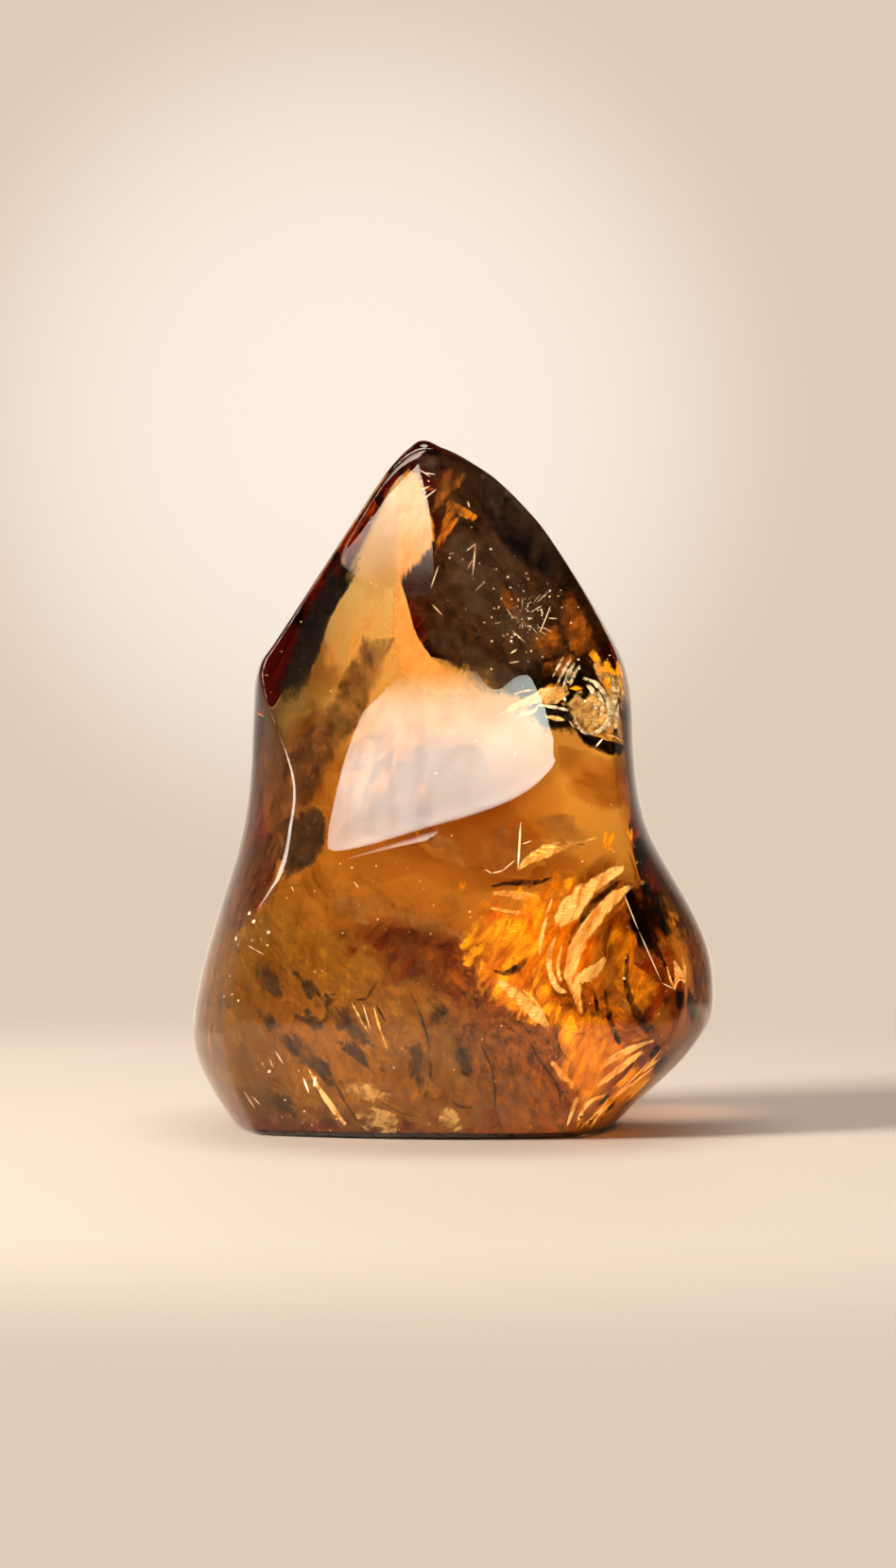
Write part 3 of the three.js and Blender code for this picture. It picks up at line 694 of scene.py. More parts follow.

# Outlines of the golden veils low on the right: a golden veil whose glow is a painted light, where the
# crystal gathers the light from the left.
GOLDEN_PAINTED_GLOW_VEILS = [
    [(12.3, -15.8, 17.6), (14.7, -15.3, 16.9), (16.5, -14.8, 17.5), (18.6, -14.3, 15.5), (19.8, -13.8,
     12.6), (21.5, -12.9, 10.8), (19.9, -12.1, 7.8), (17.1, -11.9, 6), (14, -13.4, 7.2), (12.1, -15.2,
     10), (11.2, -16, 13.6)],
    [(2.4, -12.4, 29.2), (9.2, -11.7, 30.4), (13.8, -11, 29.1), (14.5, -11.7, 23.1), (12.6, -12.6,
     18.5), (9.2, -13.4, 15.2), (4.6, -13.7, 18.6), (1.2, -13.3, 23.2)],
    [(18.6, -11.8, 29.2), (21.9, -10.6, 30.1), (22.8, -10.9, 25.5), (22.3, -11.7, 20.8), (25.6, -10.5,
     19.6), (26.1, -10.5, 16.3), (23.7, -11.5, 15), (20.9, -12.5, 17.4), (18.6, -12.8, 22.1)],
    [(0.3, -10.1, 31.4), (9.2, -9.3, 33.1), (18.3, -7, 34.2), (21.7, -6.2, 31.7), (19.4, -7.9, 25.9),
     (18.2, -9.2, 18.3), (24, -7.1, 12.7), (20.5, 3.5, 11.3), (14.6, 0.8, 5.8), (12.7, -6.9, 5.6),
     (11.4, -10.9, 13), (4.6, -11.8, 17.3), (0.5, -11.3, 23.1)],
    [(13.9, -14.5, 16.4), (18.6, -13.3, 15.2), (24.4, -11.2, 13.3), (23.5, -6.2, 11.8), (18.4, -2.7,
     6.2), (15.2, -9, 3.5), (12.8, -13.6, 9)],
]

# Outlines of the olive-brown smudges.
SMUDGES = [
    [(-25.6, -16.1, 22.7), (-23.4, -16.9, 23.2), (-21.7, -17.7, 22.1), (-20.7, -18.3, 20.2), (-20.5,
     -18.6, 17.6), (-22.7, -17.8, 17.7), (-24.8, -16.8, 19.3)],
    [(-20.8, -18, 22.5), (-19.3, -18.6, 21.9), (-17.6, -19.3, 20.5), (-16.4, -19.8, 18.4), (-16.6,
     -19.8, 17.2), (-18.3, -19.2, 18.3), (-19.8, -18.6, 20.2)],
    [(-17.8, -19.4, 17.6), (-16.1, -19.8, 18.9), (-13.5, -20.5, 18.7), (-11.4, -21.1, 16.8), (-9.9,
     -21.3, 13.8), (-9.2, -21.2, 11.4), (-10.9, -21, 12.1), (-13.3, -20.6, 13.7), (-15.9, -20, 14.8),
     (-17.1, -19.7, 16)],
    [(-21, -18.4, 16.4), (-18.5, -19.2, 17.1), (-16.4, -19.9, 16), (-15.9, -20, 14.1), (-17.8, -19.4,
     14.1), (-20, -18.8, 15.2)],
    [(-25.3, -16.7, 16.9), (-23.6, -17.4, 16.8), (-22.2, -18, 15.1), (-22.9, -17.7, 13.5), (-24.6,
     -17.1, 15.1)],
    [(-21.9, -18.1, 14), (-19.5, -18.9, 14), (-17.4, -19.4, 12), (-15.4, -19.6, 10.4), (-13.8, -19.2,
     8), (-13.1, -18.1, 5.6), (-15.3, -18.1, 6.5), (-17.1, -18.6, 8.7), (-19.5, -18.1, 9.3), (-21.2,
     -18, 11.1)],
    [(-15.2, -19.9, 13.4), (-12.8, -20.5, 13.2), (-10.4, -20.7, 11.2), (-9.7, -20.2, 8.8), (-11.8,
     -20.1, 10), (-14, -20.1, 11.8)],
    [(-30, -10.2, 17), (-27.9, -14.9, 18.6), (-26.5, -16, 17.4), (-27.2, -15.7, 15.4), (-28.7, -14.1,
     15)],
    [(-27.3, -14.6, 9.3), (-23.4, -15.8, 8.2), (-20.1, -15.8, 5.9), (-19.4, -13.8, 2.7), (-24.1, -11.4,
     2), (-26.5, -12.1, 4.7)],
    [(-20.4, -11.8, 41.2), (-19.4, -12, 42.2), (-17.8, -12.6, 42.5), (-16.5, -13.7, 41.8), (-16, -14.9,
     40.1), (-16.8, -15.6, 38.3), (-18.8, -14.8, 37.8), (-20.2, -13.2, 39)],
    [(-15, -8.7, 53.5), (-14.7, -9.6, 51.6), (-16.1, -9.3, 51), (-18, -9, 50), (-19.5, -8.8, 48.7),
     (-20.6, -8.6, 48), (-19.9, -8.1, 49.8), (-18.1, -8.1, 51.7), (-16.8, -8.2, 53)],
    [(-3.9, -19.6, 18.4), (-2.1, -19.7, 18.8), (-0.2, -19.9, 17.4), (-0.7, -19.9, 15.1), (-2.8, -19.8,
     14.9)],
    [(-1.1, -18.8, 13.3), (1.2, -18.9, 13.7), (3.1, -18.5, 11.1), (2.4, -17.3, 7.8), (0.3, -17.8,
     8.9)],
    [(-6, -18.4, 12.8), (-4.2, -18.6, 13.3), (-3.2, -18.1, 10), (-3.9, -16.5, 6.7), (-5.6, -17.5,
     8.9)],
]

# Outlines of the tan plates along the base and at the right shoulder.
TAN_PLATES = [
    [(-14, -16.2, 7.2), (-12.9, -17, 8.2), (-11.3, -17.4, 8.3), (-9.1, -17.3, 7.4), (-6.9, -17.2, 6.6),
     (-7.6, -16.5, 5.6), (-9.9, -16.1, 5.6), (-12.2, -15.9, 6)],
    [(-12.6, -15.6, 4.9), (-9.9, -16.5, 5.4), (-8, -16.2, 4.5), (-5.8, -15.9, 3.7), (-6.9, -13.9, 1.7),
     (-9.7, -13.2, 1.3), (-11.9, -13.9, 2.6)],
    [(-2.1, -16.7, 5.1), (-0.2, -17.1, 5.7), (0.8, -16.1, 4.2), (1.2, -14, 1.8), (-1.4, -13.9, 1.8)],
    [(13.9, -10.9, 55.4), (15.4, -10.2, 56.6), (17.1, -9.8, 57.3), (18.8, -10, 56.8), (20, -10.9,
     55.1), (20.1, -12.3, 52.7), (18.4, -13, 51.5), (16.3, -12.9, 51.7), (14.6, -12.2, 53)],
    [(17.8, -7.7, 60.7), (19.6, -7.2, 61.4), (20, -6.5, 60.8), (20.9, -4.2, 58.9), (21.8, 2, 56.1),
     (20.7, -8, 54.7), (20.4, -10.4, 55.6), (19, -9.2, 57.8)],
    [(9.8, -10.8, 55.9), (12, -10, 57.6), (14.4, -9.7, 58.1), (15.1, -10.5, 56.7), (13.4, -11.2, 55.4),
     (11, -11.4, 55)],
    [(19.5, -11.6, 53.9), (20.1, -11, 54.5), (21.3, -6, 52.7), (21.3, -6.7, 50.2), (19.9, -12.8,
     51.2)],
    [(6.9, -11.8, 54), (8.6, -11.2, 55.2), (10.3, -11.1, 55.7), (9.8, -11.7, 54.5), (8.1, -12.2,
     53.3)],
]

# Outlines of the brindled brown haze low in the middle and on the right.
BRINDLED_VEILS = [
    [(-4.6, -16.5, 18.8), (0.1, -16.7, 20), (7, -16.5, 17.7), (14, -15.5, 14.2), (21, -13.5, 14.1),
     (26.7, -10.8, 15.4), (27, -1.8, 13.3), (23.3, -4, 10), (19, -3, 5.8), (14.1, -9.6, 2.4), (2.4,
     -11.1, 2.5), (-5.8, -10.8, 2.6), (-9.2, -14.4, 7.9), (-8, -16.2, 14.3)],
    [(-6.7, -11.6, 24.3), (0.1, -11.9, 25.5), (9.2, -11.7, 23.1), (18.3, -10.1, 19.5), (25.3, -7.6,
     18.2), (22.3, -3.7, 12.9), (15.4, -4.9, 7), (0.1, -8.2, 4.5), (-7.9, -11.8, 11.1)],
]

# Outlines of the smoky brown veils in the upper right.
SMOKY_VEILS = [
    [(-21.4, -12, 39.5), (-20.1, -11.9, 41.7), (-18.2, -12.5, 42.7), (-16.4, -13.8, 42), (-15.7, -15.5,
     39.4), (-16.2, -16.7, 37), (-17.4, -17, 35.5), (-19.4, -16.8, 33.9), (-21.5, -16.3, 32.7), (-22.1,
     -14.4, 34.8), (-21.8, -12.8, 37.4)],
    [(-6.2, 0.8, 72.3), (-3.9, 1, 73.8), (-1.8, 1.5, 76.3), (-2.8, 3, 81.7), (-3.5, 3.8, 85.5), (-2.1,
     4.1, 87.3), (-0.8, 4, 86.3), (0.5, 3.1, 83.8), (5.6, 3.4, 83.2), (7.9, 2.4, 78.7), (12.4, 1.6,
     74.9), (15.2, 0, 69.7), (18.9, -2.5, 63.8), (20.4, -4.3, 60), (18.3, -5.2, 58.6), (14.2, -6, 57.4),
     (9.9, -7.2, 55), (5.6, -6.5, 56), (2.6, -6.1, 56.8), (-0.5, -4.9, 58.8), (-4, -2.7, 63.3), (-6,
     -0.4, 68.8)],
    [(1.7, 0, 86.8), (4.1, -0.3, 85.2), (6.2, -0.6, 83.6), (8.4, -0.9, 81.2), (10.7, -1.5, 78.7),
     (13.1, -2.4, 75.3), (15.2, -3.6, 71.7), (13.8, -4.5, 70), (10.6, -4, 71.7), (6.9, -3.1, 74.9),
     (4.5, -2.2, 78.2), (2.7, -1.1, 82.4)],
]

# Outlines of the amber windows beside the smoky part.
AMBER_WINDOWS = [
    [(-7.6, 0, 84.7), (-5.8, 0, 86.1), (-4.4, -0.2, 85.8), (-3.4, -1.1, 81.9), (-2, -2.5, 76.9), (-4,
     -3.1, 74.2), (-6, -3.6, 71.7), (-7.5, -3.5, 71.2)],
    [(-7.3, -3.1, 72.7), (-6.4, -4, 70.5), (-5.5, -5.5, 66.4), (-4.3, -6.8, 63.7), (-2.5, -8.1, 61.1),
     (-0.5, -9.1, 59.2), (2.9, -10.3, 57.2), (1.3, -11, 55.5), (-3.6, -10.2, 56), (-6.7, -8.3, 58.9),
     (-8.2, -5.7, 64.6), (-8, -4, 69.5)],
]

# Outlines of the faintly streaked amber.
AMBER_STREAKS = [
    [(-15.5, 1.2, 67.9), (-12.9, 1.5, 71.7), (-9.5, 1.1, 72.9), (-7.1, -0.2, 70.4), (-5.8, -3.1, 62.9),
     (-3.4, -5.5, 57.9), (-6.9, -6.3, 54.8), (-12.9, -4.9, 54.2), (-17, -3.8, 53), (-17.8, -0.5, 60.4)],
    [(-17.4, -0.5, 55.2), (-11.6, -1.7, 57.6), (-3.3, -4.1, 56.3), (-0.9, -8.7, 47.7), (-4.3, -12.2,
     40.4), (-11.3, -11.6, 38), (-17.1, -7.7, 40.3)],
]

# Outlines of the pale veils.
PALE_VEILS = [
    [(-17.6, -14.4, 30.7), (-9.3, -16.3, 31.4), (-1.1, -17.6, 27.9), (2.4, -17.9, 25.8), (-4.6, -17.8,
     25.3), (-12.8, -16.1, 27.8)],
    [(-4.5, -14.4, 38.4), (4.7, -14.5, 39.9), (14.1, -12.9, 41.3), (18.8, -12.2, 38.9), (14.1, -14,
     36), (4.7, -15.7, 33.7), (-2.3, -15.4, 35.5)],
    [(-1.1, -17.3, 7.8), (7.1, -18.2, 11), (12.9, -16, 7.7), (9.5, -13.4, 3.2), (1.2, -13.6, 2.7)],
]

# Outlines of the silvery haze just under the upper front face.
HAZE = [
    [(-4.1, -0.5, 83.2), (2.5, -0.9, 82.9), (9.4, -1.8, 78.2), (13.5, -3.1, 73.2), (15.9, -5.5, 67),
     (14.2, -8.5, 60.8), (7.4, -10.5, 56.6), (2.5, -9.2, 59), (-2.4, -7.5, 62.1), (-5.3, -4.7, 68.2),
     (-5.6, -2.6, 74.5)],
    [(0.1, -6.8, 61.9), (2.5, -5.9, 64.4), (6.2, -6.2, 63.8), (8, -7.6, 60.7), (8.4, -9.4, 57), (4.9,
     -9.6, 56.3), (1.3, -8.6, 58)],
    [(-5.8, 0, 87.9), (-4.1, 0, 88.6), (-2.2, -0.3, 88.2), (-1.2, -0.5, 86.9), (-2.9, -0.7, 85.7),
     (-4.9, -0.4, 86.2)],
]

# Needles: (radius, from, to).
NEEDLES = [
    (0.11, (2.9, -0.8, 76), (2.5, -1.6, 71.5)), (0.07, (1.7, -1.1, 75.1), (3, -0.2, 76.1)), (0.07, (1.8,
    -1.7, 72.6), (2.5, -0.7, 73.9)), (0.06, (-2.6, -2.7, 68), (-1.3, -2.7, 66.5)), (0.05, (-1.8, -1,
    73.2), (-2.8, -1.3, 70.1)), (0.08, (-4.4, 0.9, 83.1), (-3, 1.5, 83.8)), (0.06, (-5, 1.1, 83.9),
    (-3.9, 1.8, 84.6)), (0.06, (-3.9, 0.6, 82), (-2.1, 1.4, 83.4)), (0.05, (-3.7, 1.4, 85.6), (-2.2,
    1.8, 85.3)), (0.05, (-4.8, 0.8, 82.5), (-3.3, 1.4, 83.1)), (0.05, (-4.3, 1.1, 86), (-2.9, 1.4, 85)),
    (0.07, (1.9, 1.3, 81.7), (2.1, 1.7, 80.8)), (0.05, (12.6, -1.8, 67.7), (10.9, -3.2, 63.2)), (0.06,
    (7.5, -3.3, 64.5), (9.4, -3.5, 62.7)), (0.05, (6.9, -2.2, 67.3), (8, -2.2, 65.7)), (0.05, (2.8,
    -1.4, 69.6), (4, -0.3, 70.7)), (0.1, (-20.9, -1.6, 60.8), (-20, -1.8, 59.8)), (0.13, (8.4, -16.2,
    40.4), (8, -16.7, 34.2)), (0.05, (8.5, -16.7, 37.6), (9.8, -15.8, 38)), (0.05, (6, -17.5, 34.2),
    (7.7, -16.5, 35.6)), (0.06, (3.9, -16.6, 34.4), (4.8, -16.1, 33.8)), (0.06, (4.8, -16.7, 33.9),
    (6.2, -15.9, 34.2)), (0.12, (-19, -17.9, 8.4), (-18.2, -16.5, 6.4)), (0.14, (-17.4, -18.5, 8.6),
    (-17.6, -17.2, 7.2)), (0.07, (-26.6, -13.5, 6.4), (-25.1, -12, 4.1)), (0.06, (-25.5, -13.6, 5.7),
    (-24.4, -12.7, 4.6)), (0.06, (-22.5, -17.2, 11.6), (-21.4, -16.6, 10)), (0.05, (-11.2, -17.7, 17.5),
    (-10.2, -17.3, 14.3)), (0.05, (-23.2, -16.7, 10.6), (-22.7, -15.9, 9.5)), (0.09, (18.1, -13.9,
    49.9), (19.1, -12.7, 50.9)), (0.05, (14.7, -11, 53.2), (15.5, -11.1, 51.9)), (0.06, (-12.3, -14.5,
    32.8), (-11.6, -14.2, 31.8)), (0.05, (7.4, -6.3, 57.8), (9.4, -5, 59.2)), (0.06, (7.2, -5.2, 60.1),
    (8.9, -4.5, 60.3)), (0.09, (7.4, -5.7, 61.5), (8.3, -4.8, 62)), (0.06, (21.2, -13.8, 31.2), (23,
    -13.2, 26.4)), (0.05, (23.1, -13.8, 26.4), (25.9, -12.9, 19.8)), (0.05, (26, -13.5, 19.8), (27.4,
    -12.3, 19)), (0.07, (-27.9, -13.7, 22.7), (-28.2, -13.2, 20.2)), (0.05, (-26.1, -16, 24.8), (-23.9,
    -16.5, 23.6))]

# Bright specks: (size, place).
GLINTS = [
    (0.9, (-25.7, -14.6, 28.7)), (0.7, (-25.3, -16, 27.8)), (0.6, (-24.3, -16.5, 28)), (0.8, (-23.5,
    -17.1, 26.5)), (0.6, (-26.3, -14.6, 26.5)), (0.9, (-27.4, -13.4, 25.4)), (0.6, (-27.1, -14.5,
    24.7)), (0.6, (-25.5, -16.2, 25.4)), (0.4, (-24.4, -16.6, 25.6)), (0.35, (-23.6, -17.1, 24.9)),
    (0.4, (-28.9, -14.1, 18.1)), (0.4, (-28, -15.9, 18.5)), (0.5, (-27.3, -16.4, 17.8)), (0.35, (-28.2,
    -14.6, 20.7)), (0.35, (-2, -11.7, 45.9)), (0.45, (-18.6, -10.6, 44.2)), (0.55, (-23.3, -16.2, 9)),
    (0.35, (-24.1, -16.1, 9.9)), (0.35, (-21.3, -15.1, 5.4)), (0.35, (-18.9, -15, 4)), (0.35, (-19.5,
    -17.6, 9.2)), (0.3, (-18, -13.8, 2.2)), (0.3, (-14.8, -15.5, 3.1)), (0.6, (28.3, -9.6, 11.4)),
    (0.45, (29, -2.9, 10.2)), (0.35, (21.2, -15.2, 20.5)), (0.3, (-12.5, -14.2, 34.4)), (0.25, (-13.9,
    -13.7, 34.7)), (0.3, (-9.5, -14.7, 34.7)), (0.3, (5.9, -18.7, 14.9)), (0.3, (2, -16.5, 29)), (0.3,
    (-11.8, -15.3, 27.9)), (0.35, (-2.8, -17.8, 26.3)), (0.3, (-9.4, -17.8, 28.2)), (0.3, (-13.8, -17.1,
    26.4)), (0.6, (7.5, -5.9, 63.3)), (0.55, (8, -5.5, 64.2)), (0.45, (9.4, -4.1, 67.5)), (0.45, (9.8,
    -4.7, 66.2)), (0.4, (10.1, -6.5, 62)), (0.4, (11.5, -4.3, 67)), (0.35, (8.4, -3.7, 68.8)), (0.35,
    (9.7, -5.1, 65.3)), (0.35, (12.4, -4, 67.5)), (0.35, (6.2, -3.7, 68.9)), (0.35, (10, -3.8, 68.4)),
    (0.4, (7.1, -2.6, 71.7)), (0.35, (7.4, -3.1, 70.3)), (0.35, (4, -2.9, 71)), (0.3, (5.3, -4.2,
    67.6)), (0.35, (10.8, -5.8, 63.6)), (0.35, (11.5, -6.9, 61.2)), (0.35, (9.7, -7.1, 60.6)), (0.35,
    (4.9, -8.5, 59.8)), (0.35, (7.5, -3.7, 68.8)), (0.3, (8.7, -4.3, 67.3)), (0.3, (6.5, -5.6, 64)),
    (0.3, (7, -5.5, 64.2)), (0.45, (16.9, -10.7, 55.6)), (0.5, (14.3, -11.1, 56)), (0.4, (16.1, -8.4,
    61.1)), (0.35, (19.5, -11.7, 53.8)), (0.3, (7.9, -14.1, 49)), (0.35, (17.8, -10, 56.8)), (0.35,
    (14.8, -9.4, 58.1)), (0.3, (-7.1, -3.9, 65.6)), (0.25, (-12, -4.6, 60.7)), (0.3, (-8.4, -7, 57.2)),
    (0.25, (-15.5, -6.6, 53.3))]

# Dark specks: (size, place).
DARK_SPECKS = [
    (0.3, (-14.9, -9.5, 49.8)), (0.25, (-1.1, -11.1, 53.5)), (0.25, (0.1, -11.8, 52.3)), (0.35, (8.8,
    -15.2, 48.7)), (0.2, (-4.1, -9.8, 55.3)), (0.3, (2.9, -15.1, 24.6)), (0.5, (9.3, -17.3, 14.1)),
    (0.45, (12.9, -16.3, 11)), (0.4, (14.1, -14.4, 7.1)), (0.5, (18.3, -12.4, 7.1)), (0.5, (15.8, -11,
    4.4)), (0.5, (10.1, -15.3, 32.5)), (0.35, (9.4, -15.5, 32.1)), (0.3, (-6.4, -16.3, 19.2)), (0.4,
    (29, -10.2, 16.7)), (0.5, (13.5, -14.6, 7.2)), (0.3, (7.4, -17, 23.1))]

# Middle of the spray of needles and grains.
BURST_MIDDLE = (8.9, -3.1, 66.3)

# Darker smoke in the crystal: (middle, radii, tilt about Y in degrees).
SMOKE = [
    ((-9, 0, 25.1), (9, 2.4, 2.2), 8),
    ((-17.2, -5.1, 38.7), (3, 4.5, 3), 0),
    ((-17.2, 3, 45.7), (3.2, 6, 8), 8),
    ((21.6, -6.3, 27.1), (3.6, 6, 6.5), 25),
    ((28.5, -5.8, 15.5), (2.6, 5, 6), -15),
    ((13.6, -2.4, 6), (10, 7, 2), 0),
    ((18.5, -7, 44.4), (5, 6, 2.6), 20),
    ((4.5, 0.6, 34.6), (12, 6, 2.6), 12),
    ((-9.5, 2.1, 76.5), (7, 2.6, 7), 0),
    ((-2.2, -4.3, 41.3), (12.5, 7.5, 9), 12),
    ((-15.3, -6.3, 42.6), (4, 3, 9), 10),
    ((-3.4, 1, 87.9), (2, 1.6, 1.6), 0),
    ((8.8, -1.1, 11.9), (5, 6, 6), -30),
    ((-16.6, 8.4, 59.3), (3, 5, 7), -30),
    ((19.7, -6.7, 10.5), (5, 5, 2.5), -30),
    ((-10.6, -0.2, 11.2), (10, 8, 6), 0),
]


# ---- materials ---------------------------------------------------------------------------------

QUARTZ_IOR = 1.544
QUARTZ_ABSORPTION = (7.0, 33.0, 94.0)      # red, green and blue taken per metre
SMOKE_ABSORPTION = (55.0, 90.0, 130.0)
DEEPEST_TINT = 0.98                        # keeps the volume's blue just above zero


def quartz(name, ior, per_metre):
    """Clear quartz that takes this much red, green and blue per metre, by plain absorption."""
    made, tree, out = material(name)
    surface = node(tree, "ShaderNodeBsdfPrincipled", {
        "Base Color": (1, 1, 1, 1), "Roughness": 0.0, "IOR": ior, "Transmission Weight": 1.0})
    density = max(per_metre) / DEEPEST_TINT
    passed = [1 - value / density for value in per_metre]
    volume = node(tree, "ShaderNodeVolumeAbsorption", {"Color": (*passed, 1), "Density": density})
    tree.links.new(surface.outputs["BSDF"], out.inputs["Surface"])
    tree.links.new(volume.outputs["Volume"], out.inputs["Volume"])
    return made


def coordinates(tree, sizes_mm, lean=0):
    """The object's own coordinates, so that a pattern's features have these sizes, leant about Y."""
    place = node(tree, "ShaderNodeTexCoord").outputs["Object"]
    return node(tree, "ShaderNodeMapping", {
        "Vector": place, "Scale": [size * MM for size in sizes_mm],
        "Rotation": (0, math.radians(lean), 0)}, vector_type="TEXTURE").outputs["Vector"]


def thinning(tree, cover, start, pattern, ragged):
    """The cover of a film, thinned out from a share of its width to its edge, frayed by a pattern."""
    rim = node(tree, "ShaderNodeAttribute", attribute_name="rim").outputs["Fac"]
    frayed = node(tree, "ShaderNodeMapRange", {
        "Value": pattern, "From Min": 0.3, "From Max": 0.7, "To Min": ragged, "To Max": -ragged})
    edge = node(tree, "ShaderNodeMath", {0: rim, 1: frayed.outputs["Result"]}, operation="ADD")
    left = node(tree, "ShaderNodeMapRange", {
        "Value": edge.outputs["Value"], "From Min": start, "From Max": 1.0, "To Min": 1.0, "To Max": 0.0},
        interpolation_type="SMOOTHSTEP")
    return node(tree, "ShaderNodeMath", {0: cover, 1: left.outputs["Result"]},
                operation="MULTIPLY").outputs["Value"]


def lit_fracture(name, deep, pale, glow, sizes_mm=(1, 1, 6), lean=30, cover=(0.85, 1.0), start=0.5,
                 ragged=0.3):
    """An air-filled fracture: a wavy mirror that throws the light forward, streaked along its growth. Its
    glow is emission, a painted light on top of the mirror.
    """
    made, tree, out = material(name)
    streaks = node(tree, "ShaderNodeTexNoise", {
        "Vector": coordinates(tree, sizes_mm, lean), "Scale": 1.0, "Detail": 6.0, "Roughness": 0.62,
        "Distortion": 0.4}).outputs["Fac"]
    shade = node(tree, "ShaderNodeValToRGB", {"Fac": streaks},
                 stops=[(0.36, colour(deep)), (0.6, colour(pale))]).outputs["Color"]
    held = node(tree, "ShaderNodeMapRange", {
        "Value": streaks, "From Min": 0.36, "From Max": 0.56, "To Min": cover[0], "To Max": cover[1]})
    waves = node(tree, "ShaderNodeTexWave", {
        "Vector": coordinates(tree, (1, 1, 1)), "Scale": 0.9, "Distortion": 4.0, "Detail": 2.0},
        wave_type="RINGS")
    relief = node(tree, "ShaderNodeBump", {
        "Height": waves.outputs["Fac"], "Strength": 0.5, "Distance": 0.00015})
    surface = node(tree, "ShaderNodeBsdfPrincipled", {
        "Base Color": shade, "Metallic": 0.75, "Roughness": 0.3, "Emission Color": shade,
        "Emission Strength": glow, "Normal": relief.outputs["Normal"],
        "Alpha": thinning(tree, held.outputs["Result"], start, streaks, ragged)})
    tree.links.new(surface.outputs["BSDF"], out.inputs["Surface"])
    return made


def mottled(name, dark, pale, cover, sizes_mm, lean=0, glow=0.0, start=0.55, ragged=0.4,
            split=(0.42, 0.62)):
    """A veil of fine matter: see-through in places, by a noise drawn out along its growth. Its glow is
    emission, a painted light.
    """
    made, tree, out = material(name)
    patches = node(tree, "ShaderNodeTexNoise", {
        "Vector": coordinates(tree, sizes_mm, lean), "Scale": 1.0, "Detail": 8.0, "Roughness": 0.66,
        "Distortion": 0.5}).outputs["Fac"]
    grains = node(tree, "ShaderNodeTexNoise", {
        "Vector": coordinates(tree, [0.4 * size for size in sizes_mm], lean), "Scale": 1.0, "Detail": 6.0,
        "Roughness": 0.7}).outputs["Fac"]
    shade = node(tree, "ShaderNodeValToRGB", {"Fac": grains},
                 stops=[(0.36, colour(dark)), (0.66, colour(pale))]).outputs["Color"]
    held = node(tree, "ShaderNodeMapRange", {
        "Value": patches, "From Min": split[0], "From Max": split[1], "To Min": cover[0],
        "To Max": cover[1]}, interpolation_type="SMOOTHSTEP")
    surface = node(tree, "ShaderNodeBsdfPrincipled", {
        "Base Color": shade, "Roughness": 0.6, "Specular IOR Level": 0.1, "Emission Color": shade,
        "Emission Strength": glow,
        "Alpha": thinning(tree, held.outputs["Result"], start, patches, ragged)})
    tree.links.new(surface.outputs["BSDF"], out.inputs["Surface"])
    return made


# ---- stage, light and camera -------------------------------------------------------------------

def direction(azimuth, elevation):
    """A unit vector: azimuth 0 is in front (-Y), positive to the right; degrees."""
    a, e = math.radians(azimuth), math.radians(elevation)
    return Vector((math.sin(a) * math.cos(e), -math.cos(a) * math.cos(e), math.sin(e)))


FLOOR_RADIUS, FLOOR_SIDES = 900, 96
PAINTED_CAUSTIC_SPOT = (0.028, 0.017, 0)         # a painted warm pool of light, where the crystal would throw its light; in metres


def floor():
    """Pale matt paper, soft and lit evenly by its own glow, but for a painted shade under the crystal and a
    painted warm pool of light to its right; faded out behind the crystal where it meets the backdrop.
    """
    made, tree, out = material("pale_matt_paper")
    place = node(tree, "ShaderNodeTexCoord").outputs["Object"]
    away = node(tree, "ShaderNodeVectorMath", {0: place}, operation="LENGTH").outputs["Value"]
    # Painted contact shade: the paper's own glow falls almost to nothing under the crystal.
    glow_with_painted_contact_shade = node(tree, "ShaderNodeMapRange", {
        "Value": away, "From Min": 0.024, "From Max": 0.05, "To Min": 0.012, "To Max": 0.36},
        interpolation_type="SMOOTHSTEP")
    # Painted warm pool of light beside the crystal: an orange glow on the paper that stands in for light
    # passed through it.
    from_painted_caustic = node(tree, "ShaderNodeVectorMath", {0: place, 1: PAINTED_CAUSTIC_SPOT}, operation="DISTANCE")
    painted_caustic = node(tree, "ShaderNodeMapRange", {
        "Value": from_painted_caustic.outputs["Value"], "From Min": 0.003, "From Max": 0.018, "To Min": 0.36,
        "To Max": 0.0}, interpolation_type="SMOOTHSTEP")
    painted_caustic_tint = node(tree, "ShaderNodeMix", {
        "Factor": painted_caustic.outputs["Result"], "A": colour("#F3DDC8"), "B": colour("#FF9A38")}, data_type="RGBA")
    lit = node(tree, "ShaderNodeMath", {0: glow_with_painted_contact_shade.outputs["Result"], 1: painted_caustic.outputs["Result"]},
               operation="ADD")
    paper = node(tree, "ShaderNodeBsdfPrincipled", {
        "Base Color": colour("#EADED0"), "Roughness": 0.65,
        "Emission Color": painted_caustic_tint.outputs["Result"], "Emission Strength": lit.outputs["Value"]})
    shown = node(tree, "ShaderNodeMapRange", {
        "Value": away, "From Min": 0.11, "From Max": 0.21, "To Min": 1.0, "To Max": 0.0},
        interpolation_type="SMOOTHSTEP")
    clear = node(tree, "ShaderNodeBsdfTransparent")
    both = node(tree, "ShaderNodeMixShader", {
        "Fac": shown.outputs["Result"], 1: clear.outputs["BSDF"], 2: paper.outputs["BSDF"]})
    tree.links.new(both.outputs["Shader"], out.inputs["Surface"])
    turns = [2 * math.pi * i / FLOOR_SIDES for i in range(FLOOR_SIDES)]
    disc = [(FLOOR_RADIUS * math.cos(turn), FLOOR_RADIUS * math.sin(turn), 0) for turn in turns]
    mesh_object("floor", disc, [range(FLOOR_SIDES)], made, smooth=False)


